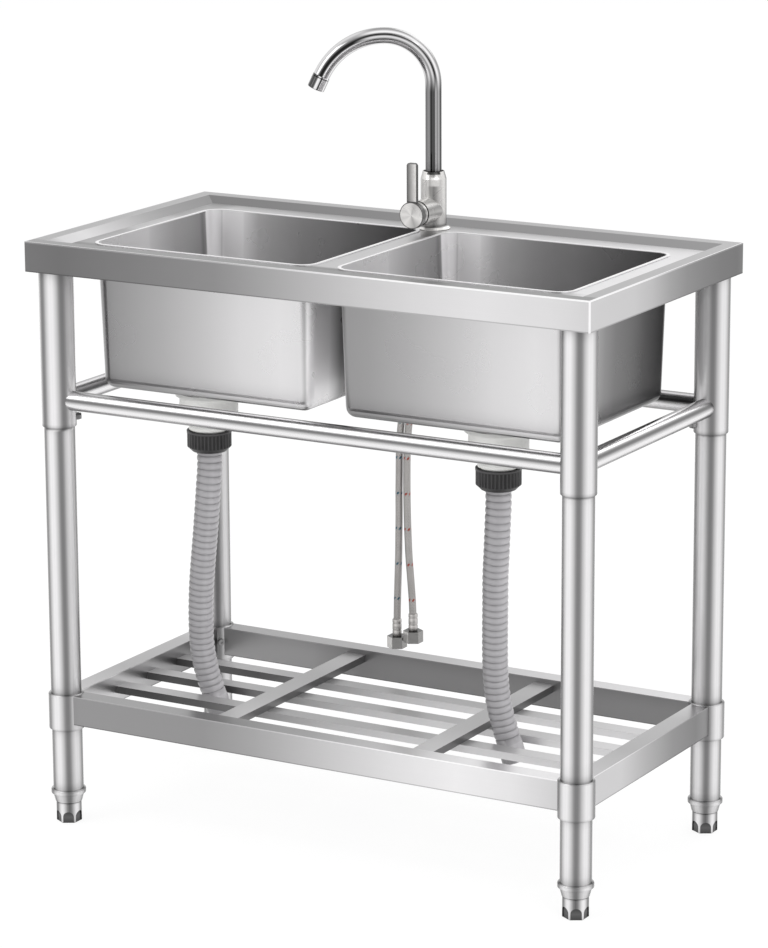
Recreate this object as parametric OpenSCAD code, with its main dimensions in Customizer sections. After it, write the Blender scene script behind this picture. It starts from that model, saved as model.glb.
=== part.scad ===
// Free-standing kitchen sink unit: a folded top with two bowls on a round-tube stand with a slatted shelf.
// Origin: middle of the footprint on the floor. +Z is up, -Y is the front, +X is to the right.

/* [Unit] */
// Width of the top, left to right
unit_w = 830; // [810:5:900]
// Depth of the top, front to back
unit_d = 440; // [430:5:500]
// Height of the rim above the floor
rim_z = 800; // [780:5:860]

/* [Sink top] */
// Height of the folded apron round the top
apron_h = 40; // [34:1:60]
// Sheet thickness of the top
top_t = 1.2; // [0.8:0.1:2]
// Width of the flat rim
rim_w = 20; // [16:1:22]
// Width of the sloping band between the rim and the deck
slope_w = 18; // [14:1:20]
// Drop from the rim to the deck
deck_drop = 8; // [5:0.5:10]
// Width of the lip folded inwards under the apron
hem_w = 10; // [6:1:12]
// Radius of the apron's upright corners
apron_r = 3; // [2:0.5:6]

/* [Bowls] */
// Distance from the unit's sides to the openings
bowl_side = 65; // [62:1:75]
// Depth of each bowl below the deck
bowl_h = 194; // [150:2:200]
// Sheet thickness of the bowls
bowl_t = 1.2; // [0.8:0.1:1.5]
// How far each wall leans inwards on its way down
bowl_taper = 6; // [2:0.5:8]
// Radius of the opening's corners
bowl_r = 20; // [16:1:30]
// Radius between the walls and the floor
bowl_floor_r = 13; // [8:1:14]
// Width of the divider between the openings
divider_w = 40; // [36:1:48]
// Distance from the unit's front to the openings
bowl_front = 65; // [60:1:70]
// Distance from the unit's back to the openings
bowl_back = 80; // [79:0.5:84]
// Width of the polished lip round each opening
lip_w = 4.5; // [3:0.5:6]
// Height of that lip above the deck
lip_h = 1.2; // [0.8:0.1:2]

/* [Legs] */
// Distance from the unit's side to the leg's axis
leg_side = 29; // [25:0.5:32]
// Distance from the unit's front or back to the leg's axis
leg_front = 30; // [25:0.5:32]
// Outer diameter of the leg tube
leg_d = 41; // [36:0.5:42]
// Wall of the leg tube
leg_t = 1.2; // [1:0.1:2]
// Outer diameter of the upper sleeve
sleeve_d = 46; // [46:0.5:47.5]
// Wall of the sleeves
sleeve_t = 1.5; // [1:0.1:1.8]
// Distance from the apron's lower edge down to the upper sleeve's lower end
sleeve_drop = 210; // [200:5:240]
// Length of leg tube held inside the upper sleeve
leg_grip = 110; // [60:5:180]

/* [Rails] */
// Outer diameter of the round rails
rail_d = 26; // [20:1:28]
// Wall of the rails
rail_t = 1.2; // [1:0.1:2]
// Height of the rails' axis above the upper sleeve's lower end
rail_rise = 36; // [32:1:40]

/* [Shelf] */
// Height of the shelf frame's underside above the floor
shelf_z = 141; // [120:1:145]
// Height of the shelf beams
beam_h = 40; // [36:1:44]
// Width of the shelf beams
beam_w = 26; // [22:1:26]
// Wall of the shelf beams
beam_t = 1.2; // [1:0.1:2]
// Outer diameter of the corner sockets
socket_d = 48; // [48:0.5:50]
// How far the sockets reach below the beams
socket_drop = 9; // [6:1:12]
// How far the sockets stand above the beams
socket_rise = 1; // [0.5:0.5:3]
// Width of a slat
slat_w = 24; // [20:1:26]
// Thickness of a slat
slat_h = 10; // [8:1:12]
// Wall of the slats and the crossbars
slat_t = 1; // [0.8:0.1:1.5]
// Distance between the slats' middles
slat_pitch = 76; // [74:1:80]
// Distance from the beams' top down to the slats' top
slat_drop = 17; // [15:1:20]
// Width of a crossbar
cross_w = 30; // [24:1:34]
// Thickness of a crossbar
cross_h = 10; // [8:1:12]
// Distance from the middle to a crossbar's axis
cross_x = 148; // [130:1:160]

/* [Feet] */
// Height of the foot below its collar
foot_h = 29; // [26:1:34]
// Diameter of the foot
foot_d = 34; // [32:0.5:36]
// Width of each arched recess in the foot
recess_w = 14.5; // [12:0.5:15]
// Height of each arched recess
recess_h = 16; // [12:1:18]
// Depth of each arched recess
recess_depth = 3; // [2:0.5:3]
// Diameter of the collar's flange
collar_d = 47; // [45:0.5:50]
// Height of the collar's flange
collar_h = 7; // [5:0.5:10]
// Height of the cup between the flange and the foot
cup_h = 11; // [8:1:14]
// Length of the collar's plug inside the leg tube
plug_h = 28; // [22:1:40]
// Diameter of the foot's threaded stud
stud_d = 12; // [10:1:14]

/* [Drains] */
// Distance from the middle of each bowl to its drain, outwards
drain_out = 33; // [20:1:38]
// Distance from the unit's front to the drain's axis
drain_front = 135; // [125:1:145]
// Diameter of the strainer's flange
strainer_d = 86; // [84:1:92]
// Diameter of the strainer's cup
strainer_cup_d = 70; // [66:1:72]
// Depth of the strainer's cup below its flange
strainer_h = 43; // [40:1:46]
// Diameter of the lift-out basket
basket_d = 62; // [56:1:64]
// Depth of the lift-out basket
basket_h = 28; // [24:1:30]
// Diameter of the outlet's thread
outlet_d = 47.8; // [42:0.2:48]
// Diameter of the union nut
union_d = 58; // [56:1:62]
// Height of the union nut
union_h = 28; // [24:1:30]
// Distance from the bowl's underside down to the union nut's lower face
union_drop = 84; // [78:1:90]

/* [Drain hoses] */
// Outer diameter of the drain hose
hose_d = 34; // [30:0.5:35]
// Distance from rib to rib
hose_pitch = 9.4; // [8:0.2:14]
// Depth of the grooves between the ribs
hose_groove = 1.6; // [1:0.1:2]
// Wall left under the grooves
hose_wall = 1.4; // [1:0.1:2]

/* [Faucet] */
// Place of the faucet's axis, left or right of the middle
faucet_x = -12; // [-14:1:12]
// Distance from the openings' back edge to the faucet's axis
faucet_gap = 18; // [17.5:0.5:19.5]
// Diameter of the flange on the deck
flange_d = 45; // [42:0.5:46]
// Height of that flange
flange_h = 5; // [3:0.5:7]
// Diameter of the upright body
body_d = 34.5; // [33:0.5:38]
// Height of the body's top above the deck
body_h = 78; // [74:1:90]
// Diameter of the valve barrel
barrel_d = 34; // [32:0.5:34.5]
// Height of the barrel's axis above the deck
barrel_rise = 26.5; // [26:0.5:30]
// Length of the barrel from the body's axis
barrel_len = 43; // [40:1:50]
// Diameter of the handle's cap
cap_d = 36; // [34:0.5:36]
// Length of the handle's cap
cap_len = 8; // [8:0.5:9]
// Width of the lever
lever_w = 15; // [12:0.5:18]
// Thickness of the lever
lever_t = 4.5; // [3:0.5:5]
// Height of the lever's tip above the barrel's axis
lever_h = 70; // [50:1:90]

/* [Spout] */
// Outer diameter of the spout tube
spout_d = 22; // [18:0.5:22]
// Wall of the spout tube
spout_t = 1.2; // [0.8:0.1:1.5]
// Height of the straight riser's top above the deck
riser_h = 194; // [150:2:240]
// Bend radius of the first quarter turn
bend_r = 65; // [50:1:80]
// Bend radius of the falling part
fall_r = 92; // [70:1:110]
// Angle of the falling part
fall_angle = 65; // [40:1:80]
// Direction in which the spout points, turned from the left
spout_turn = 30; // [0:5:90]
// Diameter of the aerator
aerator_d = 23.4; // [22.5:0.1:26]
// Length of the aerator
aerator_len = 19; // [14:0.5:26]

/* [Supply hoses] */
// Outer diameter of the braided hoses
supply_d = 10; // [8:0.5:10]
// Size across the flats of the union nuts
supply_nut_af = 24; // [22:0.5:24.5]
// Height of the union nuts
supply_nut_h = 16; // [12:0.5:20]
// Length of the crimped ferrules
ferrule_len = 24; // [18:1:30]

/* [Hidden] */
$fn = 64;

// Colours, as the photograph shows them
steel = [0.78, 0.78, 0.8];
bright_steel = [0.86, 0.86, 0.88];
dark_steel = [0.55, 0.55, 0.57];
black_plastic = [0.13, 0.13, 0.14];
white_plastic = [0.88, 0.88, 0.86];
grey_plastic = [0.7, 0.69, 0.72];
black_rubber = [0.08, 0.08, 0.08];

// Gaps and cuts
over = 1;            // how far a cut runs past the face it opens
weld_gap = 0.1;      // between pieces that are welded along a curved edge
slip_gap = 0.05;     // radial, between a round piece and the hole it turns or slides in
rest_gap = 0.3;      // between faces of pieces that move apart
fold_gap = 0.2;      // between the bowls and the edge of the hole in the deck

// Sink top
deck_z = rim_z - deck_drop;
deck_under = deck_z - top_t;
apron_z = rim_z - apron_h;
slope_shift = top_t * tan(atan(deck_drop / slope_w) / 2);
apron_in_r = apron_r - top_t / 2;
deck_w = unit_w - 2 * (rim_w + slope_w);
deck_d = unit_d - 2 * (rim_w + slope_w);

// Bowls
bowl_w = (unit_w - divider_w) / 2 - bowl_side; // width of each opening
bowl_d = unit_d - bowl_front - bowl_back;      // depth of each opening
bowl_x = (divider_w + bowl_w) / 2;
bowl_y = bowl_front + bowl_d / 2 - unit_d / 2;
bowl_low = deck_z - bowl_h;
bowl_floor = bowl_low + bowl_t;
bowl_span_x = bowl_w - 2 * bowl_r;
bowl_span_y = bowl_d - 2 * bowl_r;

// Legs
leg_x = unit_w / 2 - leg_side;
leg_y = unit_d / 2 - leg_front;
plate_t = 4;         // thickness of the plate that carries a leg
plate_w = 60;        // reach of that plate from the apron
spigot_h = 30;       // length of the spigot below the plate
spigot_t = 3.3;      // wall of the spigot
edge_r = 1.5;        // rounding of the sleeves' outer edges
crimp_h = 3;         // height of the sleeves' crimped ends
crimp_gap = 0.15;    // between a crimped end and the leg tube
sleeve_top = deck_under - plate_t;
sleeve_z = apron_z - sleeve_drop;
sleeve_in = sleeve_d / 2 - sleeve_t;
socket_top = shelf_z + beam_h + socket_rise;
socket_low = shelf_z - socket_drop;
socket_in = socket_d / 2 - sleeve_t;
leg_top = sleeve_z + leg_grip;
leg_low = foot_h + cup_h + collar_h;
rail_z = sleeve_z + rail_rise;

// Set screws
screw_d = 5;         // thread of the set screws
screw_head_d = 8.5;  // head of the set screws
screw_head_h = 2.7;  // height of that head
screw_key = 3;       // size of the key that turns it
boss_d = 10;         // welded nut under each head
boss_h = 3.5;        // height of that nut above the sleeve
boss_r = sleeve_d / 2 + boss_h;
screw_tip_r = leg_d / 2 + slip_gap;
sleeve_screw_z = sleeve_z + (rail_rise - rail_d / 2) / 2;
spigot_screw_z = sleeve_top - spigot_h / 2;
socket_screw_z = shelf_z + beam_h / 2;
groove_w = 7;        // width of the spigot's groove for the screws

// Deck braces
brace_gap = 5;       // left between a brace, the slope and the bowls
brace_w = bowl_front - rim_w - slope_w - brace_gap;
brace_h = 16;        // depth of a brace
brace_end = 66;      // distance from the unit's side to a brace's end
brace_front_y = deck_d / 2 - brace_w / 2 - top_t;
brace_hole = 34;     // distance kept from the faucet's axis

// Shelf
beam_top = shelf_z + beam_h;
slat_z = beam_top - slat_drop - slat_h;
slat_len = 2 * leg_x - beam_w;
cross_len = 2 * leg_y - beam_w;

// Feet
collar_r = 1.5;      // rounding of the collar's flange
cup_wall = 1;        // step from the foot to the cup's lower end
foot_chamfer = 1;    // chamfer under the foot
recesses = 6;

// Drains
drain_x = bowl_x + drain_out;
drain_y = drain_front - unit_d / 2;
gasket_t = 1;        // upper gasket
seal_t = 3;          // lower gasket
flange_t = 1.8;      // thickness of the strainer's flange
cup_t = 1;           // wall of the strainer's cup
hole_gap = 1;        // between the strainer's cup and the hole in the bowl
flange_z = bowl_floor + gasket_t;
strainer_top = flange_z + flange_t;
strainer_low = strainer_top - strainer_h;
drain_holes = 6;     // holes in the strainer's floor
drain_hole_d = 7;    // their diameter
drain_hole_r = 12;   // their distance from the axis
drain_bolt_d = 6;    // thread of the centre screw
drain_bolt_head_d = 11;
drain_bolt_head_h = 2.5;
drain_bolt_len = 28;
drain_rim_d = 88;    // rim that holds the lower gasket
drain_rim_h = 5;     // its height
drain_wall = 3;      // wall of the drain's body
drain_cup_gap = 1;   // between the strainer's cup and the drain's body
drain_shoulder_d = 54;
drain_shoulder_h = 4;
union_gap = 2;       // between the union nut and the shoulder above it
web_t = 3;           // web that holds the centre screw
web_h = 8;
web_boss_d = 12;
outlet_wall = 3.5;
union_lip = 3;       // floor of the union nut
union_bead = 1;      // bead round the nut's top
union_bead_h = 3;
union_ribs = 36;
union_rib_d = 2.4;
union_rib_share = 0.2; // share of a rib's diameter that is set outside the nut's wall
washer_t = 2;
hose_flange_t = 2.5;
hose_flange_d = outlet_d - washer_t;
union_z = bowl_low - union_drop;
hose_flange_z = union_z + union_lip;
outlet_z = hose_flange_z + hose_flange_t + washer_t;

// Baskets
basket_t = 0.8;
basket_rim_d = 73;
basket_rim_t = 1;
basket_top = strainer_top + rest_gap + basket_rim_t;
basket_low = basket_top - basket_h;
basket_holes = 18;
basket_hole_d = 4;
floor_holes = 8;
plug_d = 38;
plug_h_disc = 6;
plug_hollow_d = 14;
plug_hollow_h = 3.6;
plug_low = strainer_low + cup_t + rest_gap;
stem_d = 6;
knob_d = 17;
knob_h = 8;
knob_gap = 2;

// Drain hoses: routes from the union nut down to the cuff, measured from the drain's axis
left_route = [[0, 0, 490], [-2, 0, 470], [-7, 3, 435], [-14, 8, 395], [-22, 14, 355],
    [-30, 21, 315], [-36, 28, 275], [-40, 35, 240], [-40, 40, 212], [-37, 45, 186], [-32, 49, 164]];
right_route = [[0, 0, 490], [-1, 0, 470], [-4, 3, 435], [-9, 9, 395], [-13, 16, 355],
    [-17, 23, 315], [-20, 29, 280], [-22, 35, 248], [-21, 40, 218], [-17, 45, 190], [-12, 48, 168]];
left_cuff_end = [-22, 52, 132];
right_cuff_end = [-2, 51, 135];
hose_sides = 8;
hose_steps = 10;     // points worked out between two points of a route
cuff_wall = 3;
cuff_overlap = 4;    // how far a cuff runs over the first or last rib
cuff_seat = 25;      // length of the free cuff that goes into the waste pipe
cuff_step = 0.5;     // from that length to the neck above it
hose_r = hose_d / 2;
hose_bore_r = hose_r - hose_groove - hose_wall;

// Supply hoses: routes from the shank down to the union nuts, measured from the faucet's axis
hot_route = [[-5.7, 0, 790], [-5.7, 0, 760], [-5.7, 0, 735], [-6, 0, 712], [-9, 0, 688],
    [-16, 0, 660], [-25, 0, 630], [-34, 0, 600], [-42, 0, 570], [-48, 0, 540], [-52, 0, 510],
    [-54, 0, 480], [-54.5, 0, 450], [-55, 0, 420], [-55, 0, 390], [-55.5, 0, 360], [-56, 0, 330],
    [-57, 0, 300], [-58, 0, 270], [-58.5, 0, 250], [-59, 0, 228]];
cold_route = [[5.7, 0, 790], [5.7, 0, 760], [5.7, 0, 735], [5.4, 0, 712], [3, 0, 688],
    [-4, 0, 660], [-13, 0, 630], [-22, 0, 600], [-30, 0, 570], [-36, 0, 540], [-40, 0, 510],
    [-42, 0, 480], [-42.5, 0, 450], [-42.5, 0, 420], [-42, 0, 390], [-41, 0, 360], [-39.5, 0, 330],
    [-37, 0, 300], [-35, 0, 275], [-34, 0, 255], [-33.5, 0, 239]];
supply_sides = 10;
ferrule_t = 1.3;     // wall of the ferrules
ferrule_d = supply_d + 2 * ferrule_t;
supply_thread_d = 20; // bore of the union nuts
supply_tail_d = 11;  // tail that the union nuts turn on
supply_nut_lip = 2.4; // roof of the union nuts, above their bore
supply_seat_gap = 0.2; // between their thread and the tail
supply_relief = 0.3; // widening of their bore above the thread

// Faucet
faucet_y = unit_d / 2 - bowl_back + faucet_gap;
barrel_z = deck_z + barrel_rise;
body_z = deck_z + flange_h;
body_top = deck_z + body_h;
body_chamfer = 5;    // slope at the body's top
spout_r = spout_d / 2;
bush_t = 2.4;
bush_h = 22;
bush_drop = 2;       // from the body's top to the bush's top
bush_top = body_top - bush_drop;
bush_low = bush_top - bush_h;
bush_r = spout_r + slip_gap + bush_t;
collar_ring = 1.3;   // ring that keeps the spout in its bush
collar_ring_h = 3;
spout_low = bush_low - rest_gap - collar_ring_h;
chamber_gap = 2;     // below the spout's lower end
chamber_low = spout_low - chamber_gap;
deck_hole_d = 35;
shank_d = 29;
shank_t = 2.6;
shank_len = 57;      // below the deck's top
shank_grip = 9;      // screwed into the body
port_d = supply_d + 0.4;
port_x = 5.7;        // distance between a port and the faucet's axis
port_h = 12;
channel_d = 4.4;
washer_d = 48;
mount_washer_t = 2.5;
mount_nut_d = 44;
mount_nut_h = 10;

inlet_z = body_z + shank_grip + port_h - channel_d;
inlet_drop = barrel_z - inlet_z;
outlet_rise = 2 * channel_d;
riser_bore_d = 1.4 * channel_d;

// Valve: places along the barrel are measured forward from the faucet's axis
cartridge_r = 12.9;
cartridge_len = 18;
barrel_bore_r = cartridge_r + slip_gap;
nut_thread_r = 15;
nut_thread_len = 7;
nut_out_r = 16;
nut_in_r = 11;
nut_len = 9;
nut_flare = 3;       // widening of the nut's mouth
nut_dome = 2;        // rounding at the nut's front edge
cartridge_front = barrel_len - nut_thread_len;
cartridge_back = cartridge_front - cartridge_len;
rotor_r = 10;
rotor_len = 18;
rotor_proud = 1;     // from the barrel's mouth to the rotor's front
rotor_front = barrel_len + rotor_proud;
rotor_back = rotor_front - rotor_len;
pivot_in = 3;        // from the barrel's mouth to the stem's pivot
pivot_y = barrel_len - pivot_in;
stem_w = 8;
stem_h = 7;
stem_tail = 3;       // behind the pivot
stem_back = pivot_y - stem_tail;
slot_h = 16;
slot_tail = 6;       // room behind the pivot
slot_back = pivot_y - slot_tail;
trunnion_d = 3;
trunnion_len = 15;
cap_gap = 1;         // between the nut and the handle's cap
cap_back = barrel_len + nut_len + cap_gap;
cap_front = cap_back + cap_len;
cap_wall = 1.7;
cap_face_t = 3;
stem_front = cap_front - cap_face_t - 0.5 * cap_face_t;
socket_boss_d = 11;
socket_boss_len = 3.4;
lever_inset = 1.5;   // from the cap's face back to the lever's face
lever_tip_r = 4;
grub_d = 4;
grub_gap = 0.2;

// Points along an arc, from one angle to another
function arc_points(centre, r, from, to, n) =
    [for (i = [0:n]) centre + r * [cos(from + (to - from) * i / n), sin(from + (to - from) * i / n)]];

// A sleeve's section, with both outer edges rounded and the named ends crimped in
function sleeve_section(r_out, r_in, low, top, low_crimp, top_crimp, r_crimp) = concat(
    [[low_crimp ? r_crimp : r_in, low]],
    arc_points([r_out - edge_r, low + edge_r], edge_r, -90, 0, 4),
    arc_points([r_out - edge_r, top - edge_r], edge_r, 0, 90, 4),
    top_crimp ? [[r_crimp, top], [r_crimp, top - crimp_h], [r_in, top - crimp_h - (r_in - r_crimp)]]
        : [[r_in, top]],
    low_crimp ? [[r_in, low + crimp_h + (r_in - r_crimp)], [r_crimp, low + crimp_h]] : []);

// A block with rounded upright corners: span_x and span_y lie between the corners' axes
module rounded_form(section, span_x, span_y) {
    for (turn = [0:3]) {
        across = turn % 2 == 0 ? span_x : span_y;
        along = turn % 2 == 0 ? span_y : span_x;
        rotate([0, 0, 90 * turn]) {
            translate([across / 2, along / 2, 0])
                rotate_extrude(angle = 90) polygon(section);
            translate([across / 2, 0, 0])
                rotate([90, 0, 0])
                    linear_extrude(along, center = true) polygon(section);
        }
    }
    low = min([for (p = section) p[1]]);
    top = max([for (p = section) p[1]]);
    translate([-span_x / 2, -span_y / 2, low]) cube([span_x, span_y, top - low]);
}

// The section of a plain rounded block
function block_section(r, low, top) = [[0, low], [r, low], [r, top], [0, top]];

// A bowl's section, leaning inwards and rounded into the floor
function bowl_section(r_top, r_low, r_floor, low, top) = concat([[0, low]],
    arc_points([r_low - r_floor, low + r_floor], r_floor, -90, 0, 6), [[r_top, top], [0, top]]);

// A pyramid's middle slice: a rectangle at the top that narrows to another below it
module sloped_block(w_top, d_top, w_low, d_low, low, top) {
    intersection() {
        rotate([90, 0, 0])
            linear_extrude(d_top + 2 * over, center = true)
                polygon([[-w_low / 2, low], [w_low / 2, low], [w_top / 2, top], [-w_top / 2, top]]);
        rotate([90, 0, 90])
            linear_extrude(w_top + 2 * over, center = true)
                polygon([[-d_low / 2, low], [d_low / 2, low], [d_top / 2, top], [-d_top / 2, top]]);
    }
}

// All that fits inside the apron, between two heights
module inside_apron(low, top) {
    rounded_form(block_section(apron_in_r, low, top),
        unit_w - 2 * (top_t + apron_in_r), unit_d - 2 * (top_t + apron_in_r));
}

// A straight tube on the z axis
module pipe(r_out, r_in, low, top) {
    difference() {
        translate([0, 0, low]) cylinder(r = r_out, h = top - low);
        translate([0, 0, low - over]) cylinder(r = r_in, h = top - low + 2 * over);
    }
}

module at_leg(sx, sy) { translate([sx * leg_x, sy * leg_y, 0]) children(); }

// Turns a piece built towards +X so that it faces the unit's middle
module facing_middle(sx, sy) { rotate([0, 0, atan2(-sy, -sx)]) children(); }

module sink_top() {
    slope = deck_drop / slope_w;
    color(steel) difference() {
        rounded_form(block_section(apron_r, apron_z, rim_z), unit_w - 2 * apron_r, unit_d - 2 * apron_r);
        // The recess above the deck
        sloped_block(deck_w + 2 * (slope_w + over / slope), deck_d + 2 * (slope_w + over / slope),
            deck_w, deck_d, deck_z, rim_z + over);
        // The hollow below it, down to the folded hem
        difference() {
            inside_apron(apron_z + top_t, rim_z - top_t);
            sloped_block(deck_w + 2 * (slope_w + slope_shift), deck_d + 2 * (slope_w + slope_shift),
                deck_w + 2 * slope_shift, deck_d + 2 * slope_shift, deck_under, rim_z - top_t);
        }
        rounded_form(block_section(apron_r, apron_z - over, apron_z + top_t + over),
            unit_w - 2 * hem_w - 2 * apron_r, unit_d - 2 * hem_w - 2 * apron_r);
        for (sx = [-1, 1], sy = [-1, 1]) at_leg(sx, sy) translate([0, 0, apron_z - over])
            cylinder(r = sleeve_d / 2 + weld_gap, h = top_t + 2 * over);
        for (side = [-1, 1]) {
            translate([side * bowl_x, bowl_y, 0])
                rounded_form(block_section(bowl_r + bowl_t + fold_gap, deck_under - over, deck_z + over),
                    bowl_span_x, bowl_span_y);
        }
        translate([faucet_x, faucet_y, deck_under - over]) cylinder(d = deck_hole_d, h = top_t + 2 * over);
    }
}

module bowl(side) {
    color(bright_steel) difference() {
        translate([side * bowl_x, bowl_y, 0]) difference() {
            union() {
                rounded_form(bowl_section(bowl_r + bowl_t, bowl_r + bowl_t - bowl_taper,
                    bowl_floor_r + bowl_t, bowl_low, deck_z), bowl_span_x, bowl_span_y);
                rounded_form(block_section(bowl_r + lip_w, deck_z, deck_z + lip_h), bowl_span_x, bowl_span_y);
            }
            rounded_form(bowl_section(bowl_r, bowl_r - bowl_taper, bowl_floor_r,
                bowl_floor, deck_z + lip_h + over), bowl_span_x, bowl_span_y);
        }
        translate([side * drain_x, drain_y, bowl_low - over])
            cylinder(d = strainer_cup_d + 2 * hole_gap, h = bowl_t + 2 * over);
    }
}

// A folded channel that stiffens the deck, open downwards
module brace(x_from, x_to, y) {
    difference() {
        translate([x_from, y - brace_w / 2, deck_under - brace_h]) cube([x_to - x_from, brace_w, brace_h]);
        translate([x_from - over, y - brace_w / 2 + top_t, deck_under - brace_h - over])
            cube([x_to - x_from + 2 * over, brace_w - 2 * top_t, brace_h - top_t + over]);
    }
}

module deck_braces() {
    color(steel) {
        end_x = unit_w / 2 - brace_end;
        brace(-end_x, end_x, -brace_front_y);
        brace(-end_x, faucet_x - brace_hole, brace_front_y);
        brace(faucet_x + brace_hole, end_x, brace_front_y);
    }
}

module leg_mounts() {
    r = sleeve_in - crimp_gap;
    color(steel) for (sx = [-1, 1], sy = [-1, 1]) {
        // The plate fits into the apron's corner
        plate_x = sx * (unit_w / 2 - top_t - plate_w / 2);
        plate_y = sy * (unit_d / 2 - top_t - plate_w / 2);
        intersection() {
            inside_apron(sleeve_top, deck_under);
            translate([plate_x - plate_w / 2, plate_y - plate_w / 2, sleeve_top])
                cube([plate_w, plate_w, plate_t]);
        }
        // The spigot has a groove for the set screw
        at_leg(sx, sy) rotate_extrude() polygon([
            [r - spigot_t, sleeve_top - spigot_h], [r, sleeve_top - spigot_h],
            [r, spigot_screw_z - groove_w / 2], [screw_tip_r - slip_gap, spigot_screw_z - groove_w / 2],
            [screw_tip_r - slip_gap, spigot_screw_z + groove_w / 2], [r, spigot_screw_z + groove_w / 2],
            [r, sleeve_top + plate_t / 2], [r - spigot_t, sleeve_top + plate_t / 2]]);
    }
}

// Welded nut and threaded hole for a set screw, at height z on a sleeve
module screw_boss(z, r_seat, r_wall) {
    translate([r_wall, 0, z]) rotate([0, 90, 0]) cylinder(d = boss_d, h = r_seat - r_wall);
}

module screw_hole(z, r_seat) {
    translate([0, 0, z]) rotate([0, 90, 0]) cylinder(d = screw_d + 2 * slip_gap, h = r_seat + over);
}

module leg_sleeve(sx, sy) {
    color(steel) at_leg(sx, sy) difference() {
        union() {
            rotate_extrude() polygon(sleeve_section(sleeve_d / 2, sleeve_in, sleeve_z, sleeve_top,
                true, false, leg_d / 2 + crimp_gap));
            facing_middle(sx, sy) difference() {
                for (z = [sleeve_screw_z, spigot_screw_z]) screw_boss(z, boss_r, sleeve_in);
                translate([0, 0, sleeve_z]) cylinder(r = sleeve_in + sleeve_t / 2, h = sleeve_top - sleeve_z);
            }
        }
        facing_middle(sx, sy) for (z = [sleeve_screw_z, spigot_screw_z]) screw_hole(z, boss_r);
    }
}

module leg(sx, sy) {
    color(bright_steel) at_leg(sx, sy) pipe(leg_d / 2, leg_d / 2 - leg_t, leg_low, leg_top);
}

module foot_collars() {
    flange_low = foot_h + cup_h;
    collar_section = concat([[stud_d / 2 + slip_gap, foot_h], [foot_d / 2 + cup_wall, foot_h],
        [foot_d / 2 + 4 * cup_wall, flange_low]],
        arc_points([collar_d / 2 - collar_r, flange_low + collar_r], collar_r, -90, 0, 4),
        arc_points([collar_d / 2 - collar_r, leg_low - collar_r], collar_r, 0, 90, 4),
        [[leg_d / 2 - leg_t - slip_gap, leg_low], [leg_d / 2 - leg_t - slip_gap, leg_low + plug_h],
        [stud_d / 2 + slip_gap, leg_low + plug_h]]);
    color(bright_steel) for (sx = [-1, 1], sy = [-1, 1]) at_leg(sx, sy)
        rotate_extrude() polygon(collar_section);
}

module foot(sx, sy) {
    top = foot_h - rest_gap;
    arch_r = recess_w / 2;
    color(dark_steel) at_leg(sx, sy) difference() {
        union() {
            rotate_extrude() polygon([[0, 0], [foot_d / 2 - foot_chamfer, 0], [foot_d / 2, foot_chamfer],
                [foot_d / 2, top - foot_chamfer], [foot_d / 2 - foot_chamfer, top], [0, top]]);
            translate([0, 0, top - over]) cylinder(d = stud_d, h = leg_low + plug_h - top);
        }
        for (i = [0:recesses - 1]) rotate([0, 0, 360 / recesses * i])
            translate([foot_d / 2 - recess_depth, 0, 0]) {
                translate([0, 0, recess_h - arch_r]) rotate([0, 90, 0])
                    cylinder(r = arch_r, h = recess_depth + over);
                translate([0, -arch_r, -over])
                    cube([recess_depth + over, recess_w, recess_h - arch_r + over]);
            }
    }
}

// A round rail between two sleeves, along x
module rail(half_len) {
    difference() {
        rotate([0, 90, 0]) translate([0, 0, -half_len]) cylinder(d = rail_d, h = 2 * half_len);
        rotate([0, 90, 0]) translate([0, 0, -half_len - over])
            cylinder(d = rail_d - 2 * rail_t, h = 2 * (half_len + over));
        for (end = [-1, 1]) translate([end * half_len, 0, -rail_d])
            cylinder(r = sleeve_d / 2 + weld_gap, h = 2 * rail_d);
    }
}

module long_rail(sy) { color(steel) translate([0, sy * leg_y, rail_z]) rail(leg_x); }

module short_rail(sx) { color(steel) translate([sx * leg_x, 0, rail_z]) rotate([0, 0, 90]) rail(leg_y); }

// A box section along x, open at its ends
module box_tube(len, w, h, t) {
    difference() {
        translate([-len / 2, -w / 2, 0]) cube([len, w, h]);
        translate([-len / 2 - over, -w / 2 + t, t]) cube([len + 2 * over, w - 2 * t, h - 2 * t]);
    }
}

module beam(half_len) {
    difference() {
        translate([0, 0, shelf_z]) box_tube(2 * half_len, beam_w, beam_h, beam_t);
        for (end = [-1, 1]) translate([end * half_len, 0, shelf_z - over])
            cylinder(r = socket_d / 2 + weld_gap, h = beam_h + 2 * over);
    }
}

module shelf_long_beam(sy) { color(steel) translate([0, sy * leg_y, 0]) beam(leg_x); }

module shelf_short_beam(sx) { color(steel) translate([sx * leg_x, 0, 0]) rotate([0, 0, 90]) beam(leg_y); }

module shelf_slats() {
    color(steel) for (row = [-1:1]) translate([0, row * slat_pitch, slat_z])
        box_tube(slat_len, slat_w, slat_h, slat_t);
}

module shelf_crossbars() {
    color(steel) for (side = [-1, 1]) translate([side * cross_x, 0, slat_z + slat_h])
        rotate([0, 0, 90]) box_tube(cross_len, cross_w, cross_h, slat_t);
}

module shelf_sockets() {
    color(bright_steel) for (sx = [-1, 1], sy = [-1, 1]) at_leg(sx, sy) difference() {
        union() {
            rotate_extrude() polygon(sleeve_section(socket_d / 2, socket_in, socket_low, socket_top,
                true, true, leg_d / 2 + crimp_gap));
            facing_middle(sx, sy) difference() {
                screw_boss(socket_screw_z, boss_r, socket_in);
                translate([0, 0, shelf_z]) cylinder(r = socket_in + sleeve_t / 2, h = beam_h);
            }
        }
        facing_middle(sx, sy) screw_hole(socket_screw_z, boss_r);
    }
}

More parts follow.
